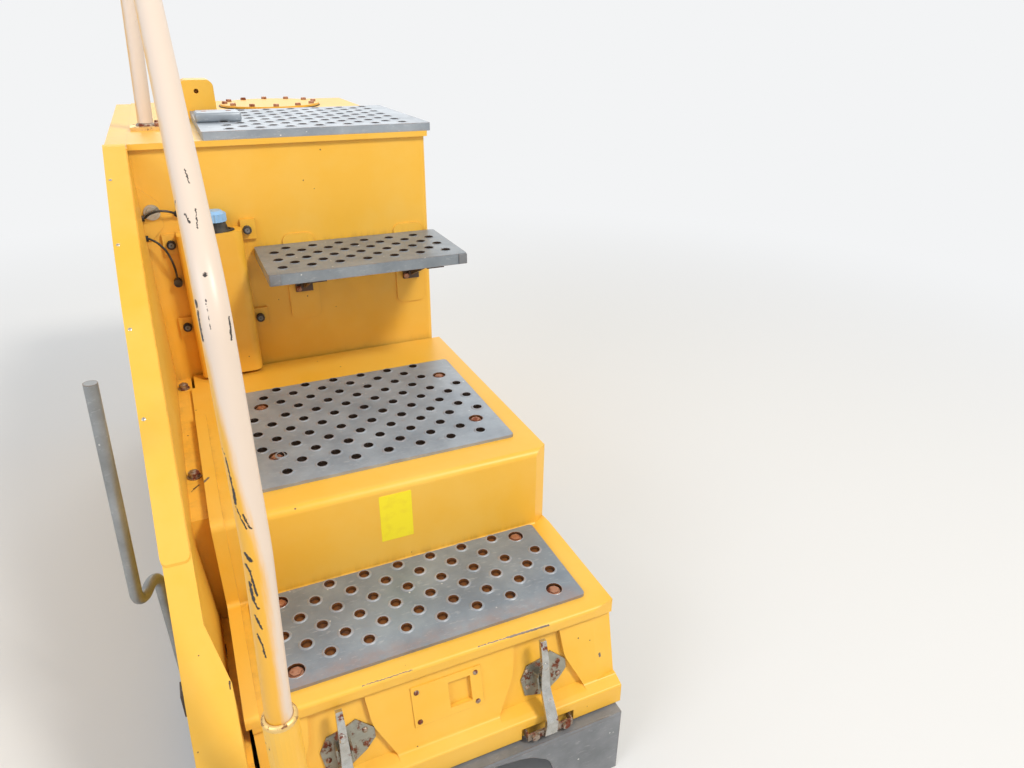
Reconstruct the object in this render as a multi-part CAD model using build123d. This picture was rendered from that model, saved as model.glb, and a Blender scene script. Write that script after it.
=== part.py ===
from build123d import *
import os
from math import cos, pi, radians, sin, tan

# Right front access steps of a crawler excavator's upper structure: a hinged two-step cover
# over a storage bin, a tank behind it, a third step on brackets, a handrail and a side casing.
# Millimetres, +X to the machine's middle, +Y to its rear, +Z up. The origin is at the centre
# of the four base bolts, on the underside of the base frame.

# Driving dimensions
PITCH = 64.0            # hole pitch along a tread, and twice the distance between its rows
HOLE_CORNER = 10.9      # anti-slip holes of 19 mm, cut with six sides as there are hundreds
BOLT_HOLE_R = 15.0      # large access hole over a tread's fixing bolt
SHEET = 3.0             # pressed sheet of cover, bin and shelf
TREAD = 6.0             # thickness of the two treads on the cover

BASE_TOP = 150.0
BASE_X = (-340.0, 350.0)
BASE_Y = (-948.0, 948.0)
BASE_PLATE = 8.0
BASE_FLANGE = 90.0
MOUNT_X = 290.0         # base bolt holes at plus and minus this
MOUNT_Y = 880.0
MOUNT_HOLE_R = 11.0

LOW_Z = 355.0           # sheet surface of the lower step
MID_Z = 527.0           # sheet surface of the middle step
NOSE_Y = -885.0         # front of the lower step's nose
RISER_Y = -621.0        # face of the riser between the steps
COVER_REAR = 11.0
COVER_LEFT = -262.0
COVER_RIGHT_FRONT = 358.0
COVER_RIGHT_MIDDLE = 355.0    # behind the riser
COVER_RIGHT_REAR = 350.0
SHELF_Z = 519.0         # channel between the cover and the casing
TREAD_MID_X = 42.0      # latches and lower tread lie evenly about this line

TANK_X = (-299.0, 336.0)
TANK_FRONT = 19.0
TANK_BACK = 947.0
TANK_TOP = 1040.0
RIM_TOP = 1052.0

CASING_X = (-340.0, -299.0)
CASING_TOP_Z = 1050.0
CASING_BEND_Y = 12.0    # where the casing's slope meets its level top
CASING_FRONT = -966.0
CASING_SLOPE = [(CASING_BEND_Y, CASING_TOP_Z), (-258.0, 922.0), (-379.0, 848.0), (-729.0, 560.0),
                (-865.0, 421.0), (CASING_FRONT, 285.0)]

HINGE_Y = -40.0         # hinge line of the cover, hidden under its rear strip
HINGE_Z = 510.0
RAIL_R = 16.5


def block(x, y, z):
    """Box between the pairs x, y and z."""
    centre = ((x[0] + x[1]) / 2, (y[0] + y[1]) / 2, (z[0] + z[1]) / 2)
    return Pos(*centre) * Box(x[1] - x[0], y[1] - y[0], z[1] - z[0])


def outline(points, radius):
    """Face from corner points, each rounded by its radius (one number or one for each)."""
    if radius == 0:
        return make_face(Polyline(*points, close=True))
    return make_face(FilletPolyline(*points, radius=radius, close=True))


def prism_x(points, x0, x1, radius=0):
    """Outline of (y, z) points, extruded along X."""
    return extrude(Plane.YZ.offset(x0) * outline(points, radius), amount=x1 - x0)


def prism_y(points, y0, y1, radius=0):
    """Outline of (x, z) points, extruded along Y."""
    return extrude(Plane.XZ.offset(-y0) * outline(points, radius), amount=y0 - y1)


def prism_z(points, z0, z1, radius=0):
    """Outline of (x, y) points, extruded along Z."""
    return extrude(Plane.XY.offset(z0) * outline(points, radius), amount=z1 - z0)


def rectangle(x, y):
    return [(x[0], y[0]), (x[1], y[0]), (x[1], y[1]), (x[0], y[1])]


def disc(radius, sides):
    """Round section, or one with flat sides on pieces that are small or come often."""
    return RegularPolygon(radius, sides) if sides else Circle(radius)


def bar(start, end, radius, sides=0):
    """Straight bar between two points."""
    axis = Vector(*end) - Vector(*start)
    base = Plane(origin=start, z_dir=axis)
    return extrude(base * disc(radius, sides), amount=axis.length)


def bent_tube(points, bends, radius, sides=0):
    """Bar along straight runs joined by tangent arcs."""
    path = FilletPolyline(*points, radius=bends)
    start = Plane(origin=path @ 0, z_dir=path % 0)
    return sweep(start * disc(radius, sides), path=path)


def post(x, y, z0, z1, radius, sides=0):
    """Upright bar."""
    return bar((x, y, z0), (x, y, z1), radius, sides)


def shrunk(pair, by):
    return (pair[0] + by, pair[1] - by)


def hex_head(centre, direction, across, height):
    """Hexagon bolt head that stands on centre and points along direction."""
    base = Plane(origin=centre, z_dir=direction)
    return extrude(base * RegularPolygon(across / 3 ** 0.5, 6), amount=height)


# Perforated treads. Columns: row number, first hole and last hole in pitches.
LOWER_ROWS = [(0, 0, 5), (1, -0.5, 6.5), (2, -1, 6), (3, -0.5, 6.5), (4, 0, 5), (5, 0.5, 5.5)]
MIDDLE_ROWS = [(0, 0, 6), (1, 0.5, 5.5), (2, 0, 5), (3, -0.5, 6.5), (4, 0, 6), (5, -0.5, 6.5),
               (6, 0, 6), (7, -0.5, 6.5), (8, 1, 5), (9, 0.5, 5.5), (10, 0, 5), (11, 0.5, 5.5)]
LOWER_TREAD = {"x": (-234.0, 317.0), "y": (-851.0, -628.0), "top": LOW_Z + TREAD,
               "first": (-128.0, -800.0), "rows": LOWER_ROWS,
               "bolts": [(-186.0, -817.0), (271.0, -817.0), (-186.0, -652.0), (271.0, -652.0)]}
MIDDLE_TREAD = {"x": (-184.0, 312.0), "y": (-552.0, -145.0), "top": MID_Z + TREAD,
                "first": (-128.0, -509.0), "rows": MIDDLE_ROWS,
                "bolts": [(-138.0, -445.0), (266.0, -459.0), (-138.0, -228.0), (266.0, -228.0)]}


def hole_row(start_x, y, count, pitch, radius, sides, z, depth):
    """Cutters for one row of anti-slip holes."""
    return [post(start_x + i * pitch, y, z - depth / 2, z + depth / 2, radius, sides)
            for i in range(count)]


def tread_plate(tread):
    """Flat perforated plate with rounded corners and large holes over its bolts."""
    low, high = tread["top"] - TREAD, tread["top"]
    plate = prism_z(rectangle(tread["x"], tread["y"]), low, high, 8)
    cutters = [post(x, y, low - 1, high + 1, BOLT_HOLE_R, 12) for x, y in tread["bolts"]]
    first_x, first_y = tread["first"]
    for row, start, end in tread["rows"]:
        count = int(end - start) + 1
        y = first_y + row * PITCH / 2
        cutters += hole_row(first_x + start * PITCH, y, count, PITCH, HOLE_CORNER, 6, low, 3 * TREAD)
    return plate - cutters


def tread_bolts():
    """Hexagon bolt heads in the large holes of both treads."""
    heads = []
    for tread in (LOWER_TREAD, MIDDLE_TREAD):
        for x, y in tread["bolts"]:
            heads.append(hex_head((x, y, tread["top"] - TREAD), (0, 0, 1), 17, 5))
    return Compound(children=heads)


# Pressed cover with both steps
FACE_TOP = (-876.0, 325.0)    # leaning front of the cover, as (y, z)
FACE_LOW = (-906.5, 203.0)    # where it meets a narrow ledge
LEDGE = (-929.0, 195.0)       # front edge of the ledge
SKIRT = (-930.0, 155.0)       # lower edge of the cover, below the ledge
LEAN = (FACE_TOP[0] - FACE_LOW[0]) / (FACE_TOP[1] - FACE_LOW[1])
CREASE_X = 319.0              # where the front turns back towards its right edge
FACET_BACK = 8.0              # how far it goes back there


def face_y(z):
    """Y of the cover's leaning front at height z."""
    return FACE_TOP[0] - (FACE_TOP[1] - z) * LEAN


def cover_outline(inset):
    """Side view of the cover. The inset one is the hollow, open below."""
    s = inset
    top = [(COVER_REAR, MID_Z - s), (RISER_Y + s, MID_Z - s), (RISER_Y + s, LOW_Z - s)]
    top_radius = [0, 14 - s, 5 + s]
    if inset == 0:
        front = [(NOSE_Y, LOW_Z), (NOSE_Y, 333), FACE_TOP, FACE_LOW, LEDGE, SKIRT]
        below = [(-862, SKIRT[1]), (-770, 285), (-596, 290), (-530, 455), (COVER_REAR, 462)]
        radius = top_radius + [7, 4, 0, 6, 4, 0] + [0, 20, 20, 20, 0]
    else:
        front = [(FACE_TOP[0] + s, LOW_Z - s), (FACE_TOP[0] + s + 0.2, FACE_TOP[1]),
                 (FACE_LOW[0] + s, FACE_LOW[1] - 2), (LEDGE[0] + s, LEDGE[1] - 2)]
        below = [(SKIRT[0] + s, SKIRT[1] - 1), (SKIRT[0] + s, 100), (COVER_REAR + 5, 100),
                 (COVER_REAR + 5, MID_Z - s)]
        top = top[1:]
        radius = top_radius[1:] + [4, 0, 6, 4] + [0, 0, 0, 0]
    return top + front + below, radius


def front_facet(inset):
    """Cutters that turn the front and the nose back a little from the crease to the right."""
    run = COVER_RIGHT_FRONT - CREASE_X
    far = 2.0

    def level(front):
        return make_face(Polyline((CREASE_X, front), (CREASE_X + far * run, front + far * FACET_BACK),
                                  (CREASE_X + far * run, front - 60), (CREASE_X, front - 60), close=True))

    low, high = FACE_LOW[1] - inset, FACE_TOP[1]
    face = loft([Plane.XY.offset(low) * level(FACE_LOW[0] + inset),
                 Plane.XY.offset(high) * level(FACE_TOP[0] + inset)], ruled=True)
    nose_front = NOSE_Y if inset == 0 else FACE_TOP[0] + inset
    nose = extrude(Plane.XY.offset(high) * level(nose_front), amount=LOW_Z + 5 - high)
    return [face, nose]


def riser_corner(inset):
    """Wedge that cuts the chamfer off the riser's right edge."""
    near = (COVER_RIGHT_MIDDLE - 26 - inset * 0.6, RISER_Y + inset)
    far = (COVER_RIGHT_MIDDLE + 28, RISER_Y + 38 + inset)
    points = [near, far, (far[0] + 20, near[1] - 60), (near[0], near[1] - 60)]
    return prism_z(points, LOW_Z - inset, MID_Z + 20)


def cover_form(inset):
    """Solid form of the cover, smaller all round by the inset."""
    points, radius = cover_outline(inset)
    form = prism_x(points, -400, 400, radius)
    left = COVER_LEFT + inset
    plan = [(left, 40), (left, -990), (COVER_RIGHT_FRONT - inset, -990),
            (COVER_RIGHT_FRONT - inset, RISER_Y - 5), (COVER_RIGHT_MIDDLE - inset, RISER_Y + 23),
            (COVER_RIGHT_REAR - inset, 40)]
    return (form & prism_z(plan, 50, 600)) - front_facet(inset) - riser_corner(inset)


LATCH_X = (TREAD_MID_X - 181, TREAD_MID_X + 166)
LATCH_Z = 246.0
PLATE_SHIFT = 9.0       # a latch plate's middle lies this far to the right of its lever
POCKET_DEPTH = 9.0


def front_layer(x, z, outer, inner):
    """Slab parallel to the leaning front, between two offsets from it (minus is outside)."""
    side = [(face_y(z[1]) + outer, z[1]), (face_y(z[1]) + inner, z[1]),
            (face_y(z[0]) + inner, z[0]), (face_y(z[0]) + outer, z[0])]
    return prism_x(side, x[0], x[1])


def latch_pocket(x, grow):
    """Bell-shaped recess round a latch, which runs out into the ledge below."""
    depth = POCKET_DEPTH + grow
    top = 322 + grow
    low = LEDGE[1] + 2 - grow
    side = [(face_y(top) - 12, top), (face_y(top) + depth, top), (face_y(204) + depth, 204 - grow),
            (LEDGE[0] + 3 + grow, low), (LEDGE[0] - 25, low)]
    widths = [(42, 340), (50, 270), (82, 205), (84, low)]
    bell = [(x - w - grow, z) for w, z in widths] + [(x + w + grow, z) for w, z in reversed(widths)]
    return prism_x(side, x - 100, x + 100) & prism_y(bell, -1060, -800, [0, 60, 20, 0, 0, 20, 60, 0])


CURB_OVERHANG = 8.0     # how far the left ridge reaches over the gap beside the cover
NOTCH_HALF = 51.0       # half width of the notches for the keepers, in the cover's lower edge
NOTCH_TOP = 178.0
PLATE_X = (-22.0, 100.0)
PLATE_Z = (240.0, 311.0)
WINDOW_X = (41.0, 80.0)
WINDOW_Z = (253.0, 299.0)


def step_cover():
    """Pressed cover of both steps, open below, with latch recesses, keeper notches and a ridge."""
    shell = cover_form(0)
    hollow = cover_form(SHEET)
    for x in LATCH_X:
        shell -= latch_pocket(x, 0)
        hollow -= latch_pocket(x, SHEET)
    shell -= front_layer(WINDOW_X, WINDOW_Z, -5, 6)
    wide_x = (WINDOW_X[0] - SHEET, WINDOW_X[1] + SHEET)
    wide_z = (WINDOW_Z[0] - SHEET, WINDOW_Z[1] + SHEET)
    hollow -= front_layer(wide_x, wide_z, -5, 6 + SHEET)
    notches = [block((x - NOTCH_HALF, x + NOTCH_HALF), (SKIRT[0] - 5, LEDGE[0] + 4),
                     (SKIRT[1] - 5, NOTCH_TOP)) for x in LATCH_X]
    lip = block((COVER_LEFT - CURB_OVERHANG, COVER_LEFT + 1), (-215, HINGE_Y - 20), (MID_Z - SHEET, MID_Z))
    return shell - hollow - notches + left_curb() + lip


def left_curb():
    """Rounded ridge along the cover's left edge, down both steps and the riser."""
    rise = 11.0
    side = [(-208, MID_Z - 1), (-224, MID_Z + rise), (RISER_Y - rise, MID_Z + rise),
            (RISER_Y - rise, LOW_Z + rise), (NOSE_Y - 2, LOW_Z + rise), (NOSE_Y - 2, LOW_Z - 8),
            (NOSE_Y + 12, LOW_Z - 1), (RISER_Y + 1, LOW_Z - 1), (RISER_Y + 1, MID_Z - 1)]
    return prism_x(side, COVER_LEFT - CURB_OVERHANG, COVER_LEFT + 13, [0, 8, 16, 10, 8, 0, 0, 0, 0])


def front_plate():
    """Blank plate between the latches, with a rectangular window."""
    plate = front_layer(PLATE_X, PLATE_Z, -2, 0)
    return plate - front_layer(WINDOW_X, WINDOW_Z, -5, 5)


HINGE_X = (-170.0, 250.0)
EAR_OFFSET = 19.0
PIN_R = 4.0


def cover_hinge_leaves():
    """Two leaves welded under the cover, each with a knuckle on the hinge line."""
    parts = []
    under = MID_Z - SHEET
    for x in HINGE_X:
        wide = (x - 15, x + 15)
        leaf = block(wide, (HINGE_Y - 60, HINGE_Y + 6), (under - 4, under))
        neck = block(wide, (HINGE_Y - 6, HINGE_Y + 6), (HINGE_Z, under))
        knuckle = bar((wide[0], HINGE_Y, HINGE_Z), (wide[1], HINGE_Y, HINGE_Z), 7, 16)
        bore = bar((wide[0] - 5, HINGE_Y, HINGE_Z), (wide[1] + 5, HINGE_Y, HINGE_Z), PIN_R + 0.05)
        parts.append(leaf + neck + knuckle - bore)
    return Compound(children=parts)


def hinge_brackets():
    """Gooseneck ears on the bin's rear wall, which pass below the cover's rear strip."""
    side = [(12.8, 440), (12.8, 380), (-28, 420), (-50, 470), (-48.5, HINGE_Z + 2), (-44, HINGE_Z + 7),
            (-36, HINGE_Z + 7), (-31.5, HINGE_Z + 2), (-30, 466), (-16, 446)]
    parts = []
    for x in HINGE_X:
        for middle in (x - EAR_OFFSET, x + EAR_OFFSET):
            ear = prism_x(side, middle - 2.5, middle + 2.5)
            hole = bar((middle - 5, HINGE_Y, HINGE_Z), (middle + 5, HINGE_Y, HINGE_Z), PIN_R + 0.15, 12)
            parts.append(ear - hole)
    return Compound(children=parts)


def hinge_pins():
    half = EAR_OFFSET + 4
    return Compound(children=[bar((x - half, HINGE_Y, HINGE_Z), (x + half, HINGE_Y, HINGE_Z), PIN_R)
                              for x in HINGE_X])


BIN_X = (COVER_LEFT + 9, 327.0)


def storage_bin():
    """Open-topped stepped bin under the cover. Its rear dips to let the cover's rear strip down."""
    outer = [(15.8, BASE_TOP), (15.8, 460), (-38, 508), (-60, 514), (-605, 514), (-605, 342),
             (-853, 342), (-881, 222), (-881, BASE_TOP)]
    floor = BASE_TOP + SHEET
    inner = [(12.8, floor), (12.8, 700), (-850, 700), (-850, 341), (-878, 222), (-878, floor)]
    return prism_x(outer, *BIN_X) - prism_x(inner, BIN_X[0] + SHEET, BIN_X[1] - SHEET)


SILL_FRONT = -921.0


def front_sill():
    """Sill on the deck, behind the cover's front edge."""
    return block((COVER_LEFT + 8, COVER_RIGHT_FRONT - 8), (SILL_FRONT, -885), (BASE_TOP, 176))


def latch_plates():
    """Many-sided plates with two cheeks and a pin, on the leaning floors of the latch recesses."""
    shape = [(-44, 2), (-31, 25), (-5, 30), (17, 39), (44, 14), (44, -3), (28, -20), (-3, -39),
             (-39, -30)]
    parts = []
    for x in LATCH_X:
        middle = (x + PLATE_SHIFT, face_y(LATCH_Z) + POCKET_DEPTH, LATCH_Z)
        floor = Plane(origin=middle, x_dir=(1, 0, 0), z_dir=(0, -1, LEAN))
        plate = floor * extrude(outline(shape, 0), amount=3)
        for side in (-1, 1):
            plate += floor * (Pos(side * 11.5 - PLATE_SHIFT, 0, 13) * Box(3, 24, 22))
        parts.append(plate + latch_pin(x))
    return Compound(children=parts)


def latch_pin(x):
    """Pin that carries a lever between the cheeks."""
    y = face_y(LATCH_Z) - 10
    return bar((x - 14, y, LATCH_Z), (x + 14, y, LATCH_Z), 3.5, 8)


def latch_levers():
    """Bowed levers that hang from the plates to in front of the keepers."""
    side = [(-894, 336), (-902, 338), (-913, 300), (-916, 245), (-953, 200), (-953, 171), (-946, 171),
            (-946, 198), (-904, 250), (-904, 300)]
    parts = []
    for x in LATCH_X:
        front = [(x - 5, 345), (x + 5, 345), (x + 8, 250), (x + 8, 215), (x + 6, 165),
                 (x - 18, 165), (x - 12, 215), (x - 8, 250)]
        bowed = prism_x(side, x - 20, x + 15, [0, 0, 40, 40, 14, 0, 0, 10, 40, 30])
        parts.append((bowed & prism_y(front, -970, -890)) - latch_pin(x))
    return Compound(children=parts)


def latch_keepers():
    """Keepers folded from plate, which stand on the sill and show in the notches of the cover."""
    front = -940.0
    parts = []
    for x in LATCH_X:
        keeper = block((x - 44, x + 44), (front, front + 3), (157, 172))
        for side in (-1, 1):
            leg = sorted((x + side * 44, x + side * 41))
            keeper += block(leg, (front, SILL_FRONT), (157, 172))
            keeper += hex_head((x + side * 30, front, 164.5), (0, -1, 0), 13, 5)
        parts.append(keeper)
    return Compound(children=parts)


# Base frame
OUTRIGGER_X = -178.0


def base_deck():
    """Deck plate, which reaches forward on the left under the casing and the handrail."""
    left, right = BASE_X
    plan = [(left, CASING_FRONT), (OUTRIGGER_X, CASING_FRONT), (OUTRIGGER_X, BASE_Y[0]),
            (right, BASE_Y[0]), (right, BASE_Y[1]), (left, BASE_Y[1])]
    return prism_z(plan, BASE_TOP - BASE_PLATE, BASE_TOP)


def side_rails():
    """Two folded rails of C section that carry the deck, with the bolt holes in their feet."""
    t = BASE_PLATE
    top = BASE_TOP - t
    parts = []
    for outer, inward, front in ((BASE_X[0], 1, CASING_FRONT), (BASE_X[1], -1, BASE_Y[0] + t)):
        foot = outer + inward * BASE_FLANGE
        web = outer + inward * t
        section = [(outer, 0), (foot, 0), (foot, t), (web, t), (web, top - t), (foot, top - t),
                   (foot, top), (outer, top)]
        rail = prism_y(section, front, BASE_Y[1])
        for y in (-MOUNT_Y, MOUNT_Y):
            rail -= post(inward * -MOUNT_X, y, -t, 2 * t, MOUNT_HOLE_R)
        parts.append(rail)
    return Compound(children=parts)


CROSS_Y = (BASE_Y[0], -470.0, TANK_FRONT, 480.0, BASE_Y[1] - BASE_PLATE)


def cross_plates():
    """Upright plates across the frame. The front one closes the right rail and has a wide arch."""
    t = BASE_PLATE
    left, right = BASE_X[0] + BASE_FLANGE, BASE_X[1] - BASE_FLANGE
    high = BASE_TOP - t
    front = [(left, 0), (-160, 0), (-132, 100), (-70, high - 6), (112, high - 6), (165, 126), (205, 98),
             (230, 0), (BASE_X[1], 0), (BASE_X[1], high), (left, high)]
    parts = [prism_y(front, CROSS_Y[0], CROSS_Y[0] + t, [0, 0, 40, 40, 60, 60, 40, 0, 0, 0, 0])]
    for y in CROSS_Y[1:]:
        low = 0 if y == CROSS_Y[-1] else 30
        section = [(left, low), (left + 60, low), (left + 120, 78), (right - 120, 78), (right - 60, low),
                   (right, low), (right, high), (left, high)]
        parts.append(prism_y(section, y, y + t))
    return Compound(children=parts)


# Tank. Embossed pads on its face behind the third step, with columns left, right, bottom, top.
PADS = ((-19.0, 52.0, 630.0, 838.0), (245.0, 318.0, 637.0, 838.0))
PAD_RISE = 3.5
CORNER_PAD = [(-299, 966), (-275, 945), (-262, 932), (-260, 880), (-288, 852), (-299, 852)]


def tank_box():
    """Closed tank with rounded right edges, and embossed pads on its face."""
    plan = rectangle(TANK_X, (TANK_FRONT, TANK_BACK))
    tank = prism_z(plan, BASE_TOP, TANK_TOP, [0, 12, 12, 0])
    raised = (TANK_FRONT - PAD_RISE, TANK_FRONT + 2)
    for left, right, low, high in PADS:
        tank += prism_y(rectangle((left, right), (low, high)), *raised, 16)
    return tank + prism_y(CORNER_PAD, *raised)


def tank_rim():
    """Top plate of the tank, which stands out a little all round."""
    return prism_z(rectangle((TANK_X[0], 341), (10, 952)), TANK_TOP, RIM_TOP, [0, 8, 8, 0])


STEP_X = (-84.0, 346.0)
STEP_Y = (-218.0, TANK_FRONT - 4)
STEP_Z = (793.0, 817.0)
STEP_PITCH = 60.0
STEP_SHEET = 4.0
BRACKET_TOP = STEP_Z[0] - 4


def cantilever_step():
    """Third step: a perforated tray with folded edges."""
    top = STEP_Z[1] - STEP_SHEET
    tray = prism_z(rectangle(STEP_X, STEP_Y), *STEP_Z, 6)
    tray -= block(shrunk(STEP_X, STEP_SHEET), shrunk(STEP_Y, STEP_SHEET), (STEP_Z[0] - 5, top))
    middle = (STEP_X[0] + STEP_X[1]) / 2
    cutters = []
    for row in range(6):
        count = 7 - row % 2
        start = middle - (count - 1) * STEP_PITCH / 2
        y = STEP_Y[0] + 42 + row * STEP_PITCH / 2
        cutters += hole_row(start, y, count, STEP_PITCH, HOLE_CORNER - 1, 6, top, 12)
    return tray - cutters


def step_brackets():
    """Two gusseted brackets between the tank's pads and the third step."""
    face = TANK_FRONT - PAD_RISE
    parts = []
    for left, right, low, high in PADS:
        x = (left + right) / 2
        leg = block((x - 20, x + 20), (face - 8, face), (700, BRACKET_TOP))
        arm = block((x - 20, x + 20), (STEP_Y[0] + 30, face), (BRACKET_TOP - 8, BRACKET_TOP))
        web = prism_x([(face - 4, 706), (face - 4, BRACKET_TOP), (STEP_Y[0] + 50, BRACKET_TOP - 4)],
                      x - 3, x + 3)
        riser = block((x - 16, x + 16), (STEP_Y[0] + 34, STEP_Y[1] - 20),
                      (BRACKET_TOP, STEP_Z[1] - STEP_SHEET))
        bolt = hex_head((x, face - 8, 716), (0, -1, 0), 17, 8)
        parts.append(leg + arm + web + riser + bolt)
    return Compound(children=parts)


TOP_X = (-154.0, 349.0)
TOP_Y = (12.0, 460.0)
TOP_FOLD = 18.0


def top_tread():
    """Folded perforated plate on the tank's rim."""
    top = RIM_TOP + TOP_FOLD
    tread = prism_z(rectangle(TOP_X, TOP_Y), RIM_TOP, top, 6)
    tread -= block(shrunk(TOP_X, STEP_SHEET), shrunk(TOP_Y, STEP_SHEET), (RIM_TOP - 5, top - STEP_SHEET))
    middle = (TOP_X[0] + TOP_X[1]) / 2
    cutters = []
    for row in range(13):
        count = 7 - row % 2
        start = middle - (count - 1) * PITCH / 2
        y = TOP_Y[0] + 32 + row * PITCH / 2
        cutters += hole_row(start, y, count, PITCH, HOLE_CORNER, 6, top, 12)
    return tread - cutters


def inspection_cover():
    """Round bolted cover on the tank top."""
    x, y, bolts = 87.0, 755.0, 12
    cover = post(x, y, RIM_TOP, RIM_TOP + 8, 145, 40)
    for i in range(bolts):
        angle = 2 * pi * i / bolts
        at = (x + 130 * cos(angle), y + 130 * sin(angle), RIM_TOP + 8)
        cover += hex_head(at, (0, 0, 1), 13, 6)
    return cover


def filler_block():
    """Housing with rounded top edges on the tank top, beside the tread, and a hole in its front."""
    front = [(-168, RIM_TOP), (-168, 1143), (-86, 1143), (-86, RIM_TOP)]
    housing = prism_y(front, 478, 560, [0, 18, 18, 0])
    return housing - bar((-129, 470, 1116), (-129, 500, 1116), 6, 12)


# Washer bottle: cover, neck and cap
BOTTLE_X = (-240.0, -106.0)
BOTTLE_Y = (-32.0, TANK_FRONT)
BOTTLE_Z = (535.0, 866.0)
CAP = (-157.0, -7.0)


def bottle_cover():
    """Tall narrow cover on the tank's face."""
    return prism_z(rectangle(BOTTLE_X, BOTTLE_Y), *BOTTLE_Z, [12, 20, 0, 0])


def bottle_neck():
    """Flared rubber grommet under the cap."""
    base = Pos(*CAP, BOTTLE_Z[1]) * RegularPolygon(25, 16)
    return extrude(base, amount=22, taper=13)


def bottle_cap():
    """Screw cap with grip ribs and a flat domed top."""
    low = BOTTLE_Z[1] + 22
    ribs = 20
    rim = []
    for i in range(2 * ribs):
        angle = pi * i / ribs
        radius = 24.0 if i % 2 == 0 else 22.3
        rim.append((CAP[0] + radius * cos(angle), CAP[1] + radius * sin(angle)))
    dome = extrude(Pos(*CAP, low + 17) * RegularPolygon(22.3, ribs), amount=6, taper=50)
    return prism_z(rim, low, low + 17) + dome


# Fixings of the bottle cover. Columns: x of the plug, z, left and right ends of its tab.
PLUGS = ((-253.0, 841.0, -269.0, -240.0), (-253.0, 650.0, -269.0, -240.0),
         (-93.0, 859.0, -106.0, -74.0), (-93.0, 650.0, -106.0, -74.0))
TAB = 8.0


def plug_tabs():
    return Compound(children=[block((left, right), (TANK_FRONT - TAB, TANK_FRONT), (z - 22, z + 22))
                              for x, z, left, right in PLUGS])


def plugs():
    """Rubber plugs on the tabs."""
    face = TANK_FRONT - TAB
    return Compound(children=[bar((x, face, z), (x, face - 10, z), 9.5, 12)
                              for x, z, left, right in PLUGS])


DISC = (-278.0, 912.0)


def tank_plug():
    """Round threaded plug with a washer on the raised corner of the tank's face."""
    x, z = DISC
    face = TANK_FRONT - PAD_RISE
    return bar((x, face, z), (x, face - 3, z), 16.5, 20) + bar((x, face, z), (x, face - 7, z), 11, 16)


# Side casing
def casing_side(rise=0):
    """Side view: level along the tank, then curving down beside the steps. May be raised a little."""
    slope = [(y, z + rise) for y, z in CASING_SLOPE]
    points = [(TANK_BACK, BASE_TOP), (TANK_BACK, CASING_TOP_Z + rise), *slope, (CASING_FRONT, BASE_TOP)]
    return points, [0, 0, 60, 600, 600, 600, 600, 25, 0]


def side_casing():
    """Long closed casing beside the steps. Its inner side leans out low down and at its front."""
    points, radius = casing_side()
    inner = CASING_X[1]
    flare = [(inner - 1, -797), (inner + 23, -862), (inner + 23, CASING_FRONT), (inner - 1, CASING_FRONT)]
    lean = [(inner - 1, 500), (inner + 14, 310), (inner + 14, BASE_TOP), (inner - 1, BASE_TOP)]
    foot = prism_z(flare, BASE_TOP, 700) + prism_y(lean, CASING_FRONT, -596)
    return prism_x(points, *CASING_X, radius) + (foot & prism_x(points, inner - 2, inner + 30, radius))


def side_strip():
    """Thin cover strip on the casing's slope, with rounded lower corners."""
    raised, radius = casing_side(5)
    casing, _ = casing_side()
    edges = (CASING_X[0] - 2, CASING_X[1] - 1.5)
    layer = prism_x(raised, *edges, radius) - prism_x(casing, edges[0] - 1, edges[1] + 1, radius)
    return layer & prism_z(rectangle(edges, (-735, CASING_BEND_Y)), 400, 1100, [9, 9, 0, 0])


def side_shelf():
    """Narrow folded channel between casing and cover, which follows the steps down."""
    t = SHEET
    side = [(TANK_FRONT, SHELF_Z), (-580, SHELF_Z), (-592, 310), (-905, 300), (-905, BASE_TOP),
            (-905 + t, BASE_TOP), (-905 + t, 300 - t), (-592 + t, 310 - t), (-580 + t, SHELF_Z - t),
            (TANK_FRONT, SHELF_Z - t)]
    return prism_x(side, CASING_X[1], COVER_LEFT - 6) - side_casing()


def shelf_bolts():
    parts = []
    for x, y in ((-285.5, -36.0), (-285.5, -436.0)):
        washer = post(x, y, SHELF_Z, SHELF_Z + 2.5, 12.5, 16)
        parts.append(washer + hex_head((x, y, SHELF_Z + 2.5), (0, 0, 1), 17, 9))
    return Compound(children=parts)


# Handrail. Points of its centre line, and the bend at each inner point.
RAIL_FOOT = (-260.0, 262.0)
RAIL_POINTS = ((-223, -1024, 380), (-223, -1024, 530), (-214, -1000, 740), (-212.5, -949, 1031),
               (-219, -60, 1660), (-222, 262, 1660), (*RAIL_FOOT, RIM_TOP + 5))
RAIL_BENDS = (200, 300, 130, 130, 130)
SOCKET_TOP = 508.0
SOCKET_R = 22.0


def handrail():
    return bent_tube(RAIL_POINTS, RAIL_BENDS, RAIL_R, 16)


def handrail_socket():
    """Stout tube that takes the handrail's foot, on a bolted bracket at the frame's front."""
    x, y, low = RAIL_POINTS[0]
    tube = post(x, y, 20, SOCKET_TOP, SOCKET_R, 24) - post(x, y, low, SOCKET_TOP + 5, RAIL_R)
    back = CASING_FRONT
    plate = block((x - 45, x + 45), (back - 10, back), (12, 138))
    webs = [block((x + side * 16 - 4, x + side * 16 + 4), (y + 8, back - 10), (30, 120))
            for side in (-1, 1)]
    bolts = [hex_head((x + side * 34, back - 10, z), (0, -1, 0), 17, 8)
             for side in (-1, 1) for z in (28, 122)]
    return tube + (Compound(children=webs) - post(x, y, 0, 200, SOCKET_R - 0.5)) + plate + bolts


def rail_foot():
    """Flange of the rear post on the tank top."""
    x, y = RAIL_FOOT
    plan = rectangle((x - 33, x + 37), (y - 35, y + 35))
    flange = prism_z(plan, RIM_TOP, RIM_TOP + 8) - handrail()
    return flange + [hex_head((x + 27, y + side * 25, RIM_TOP + 8), (0, 0, 1), 13, 7) for side in (-1, 1)]


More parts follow.
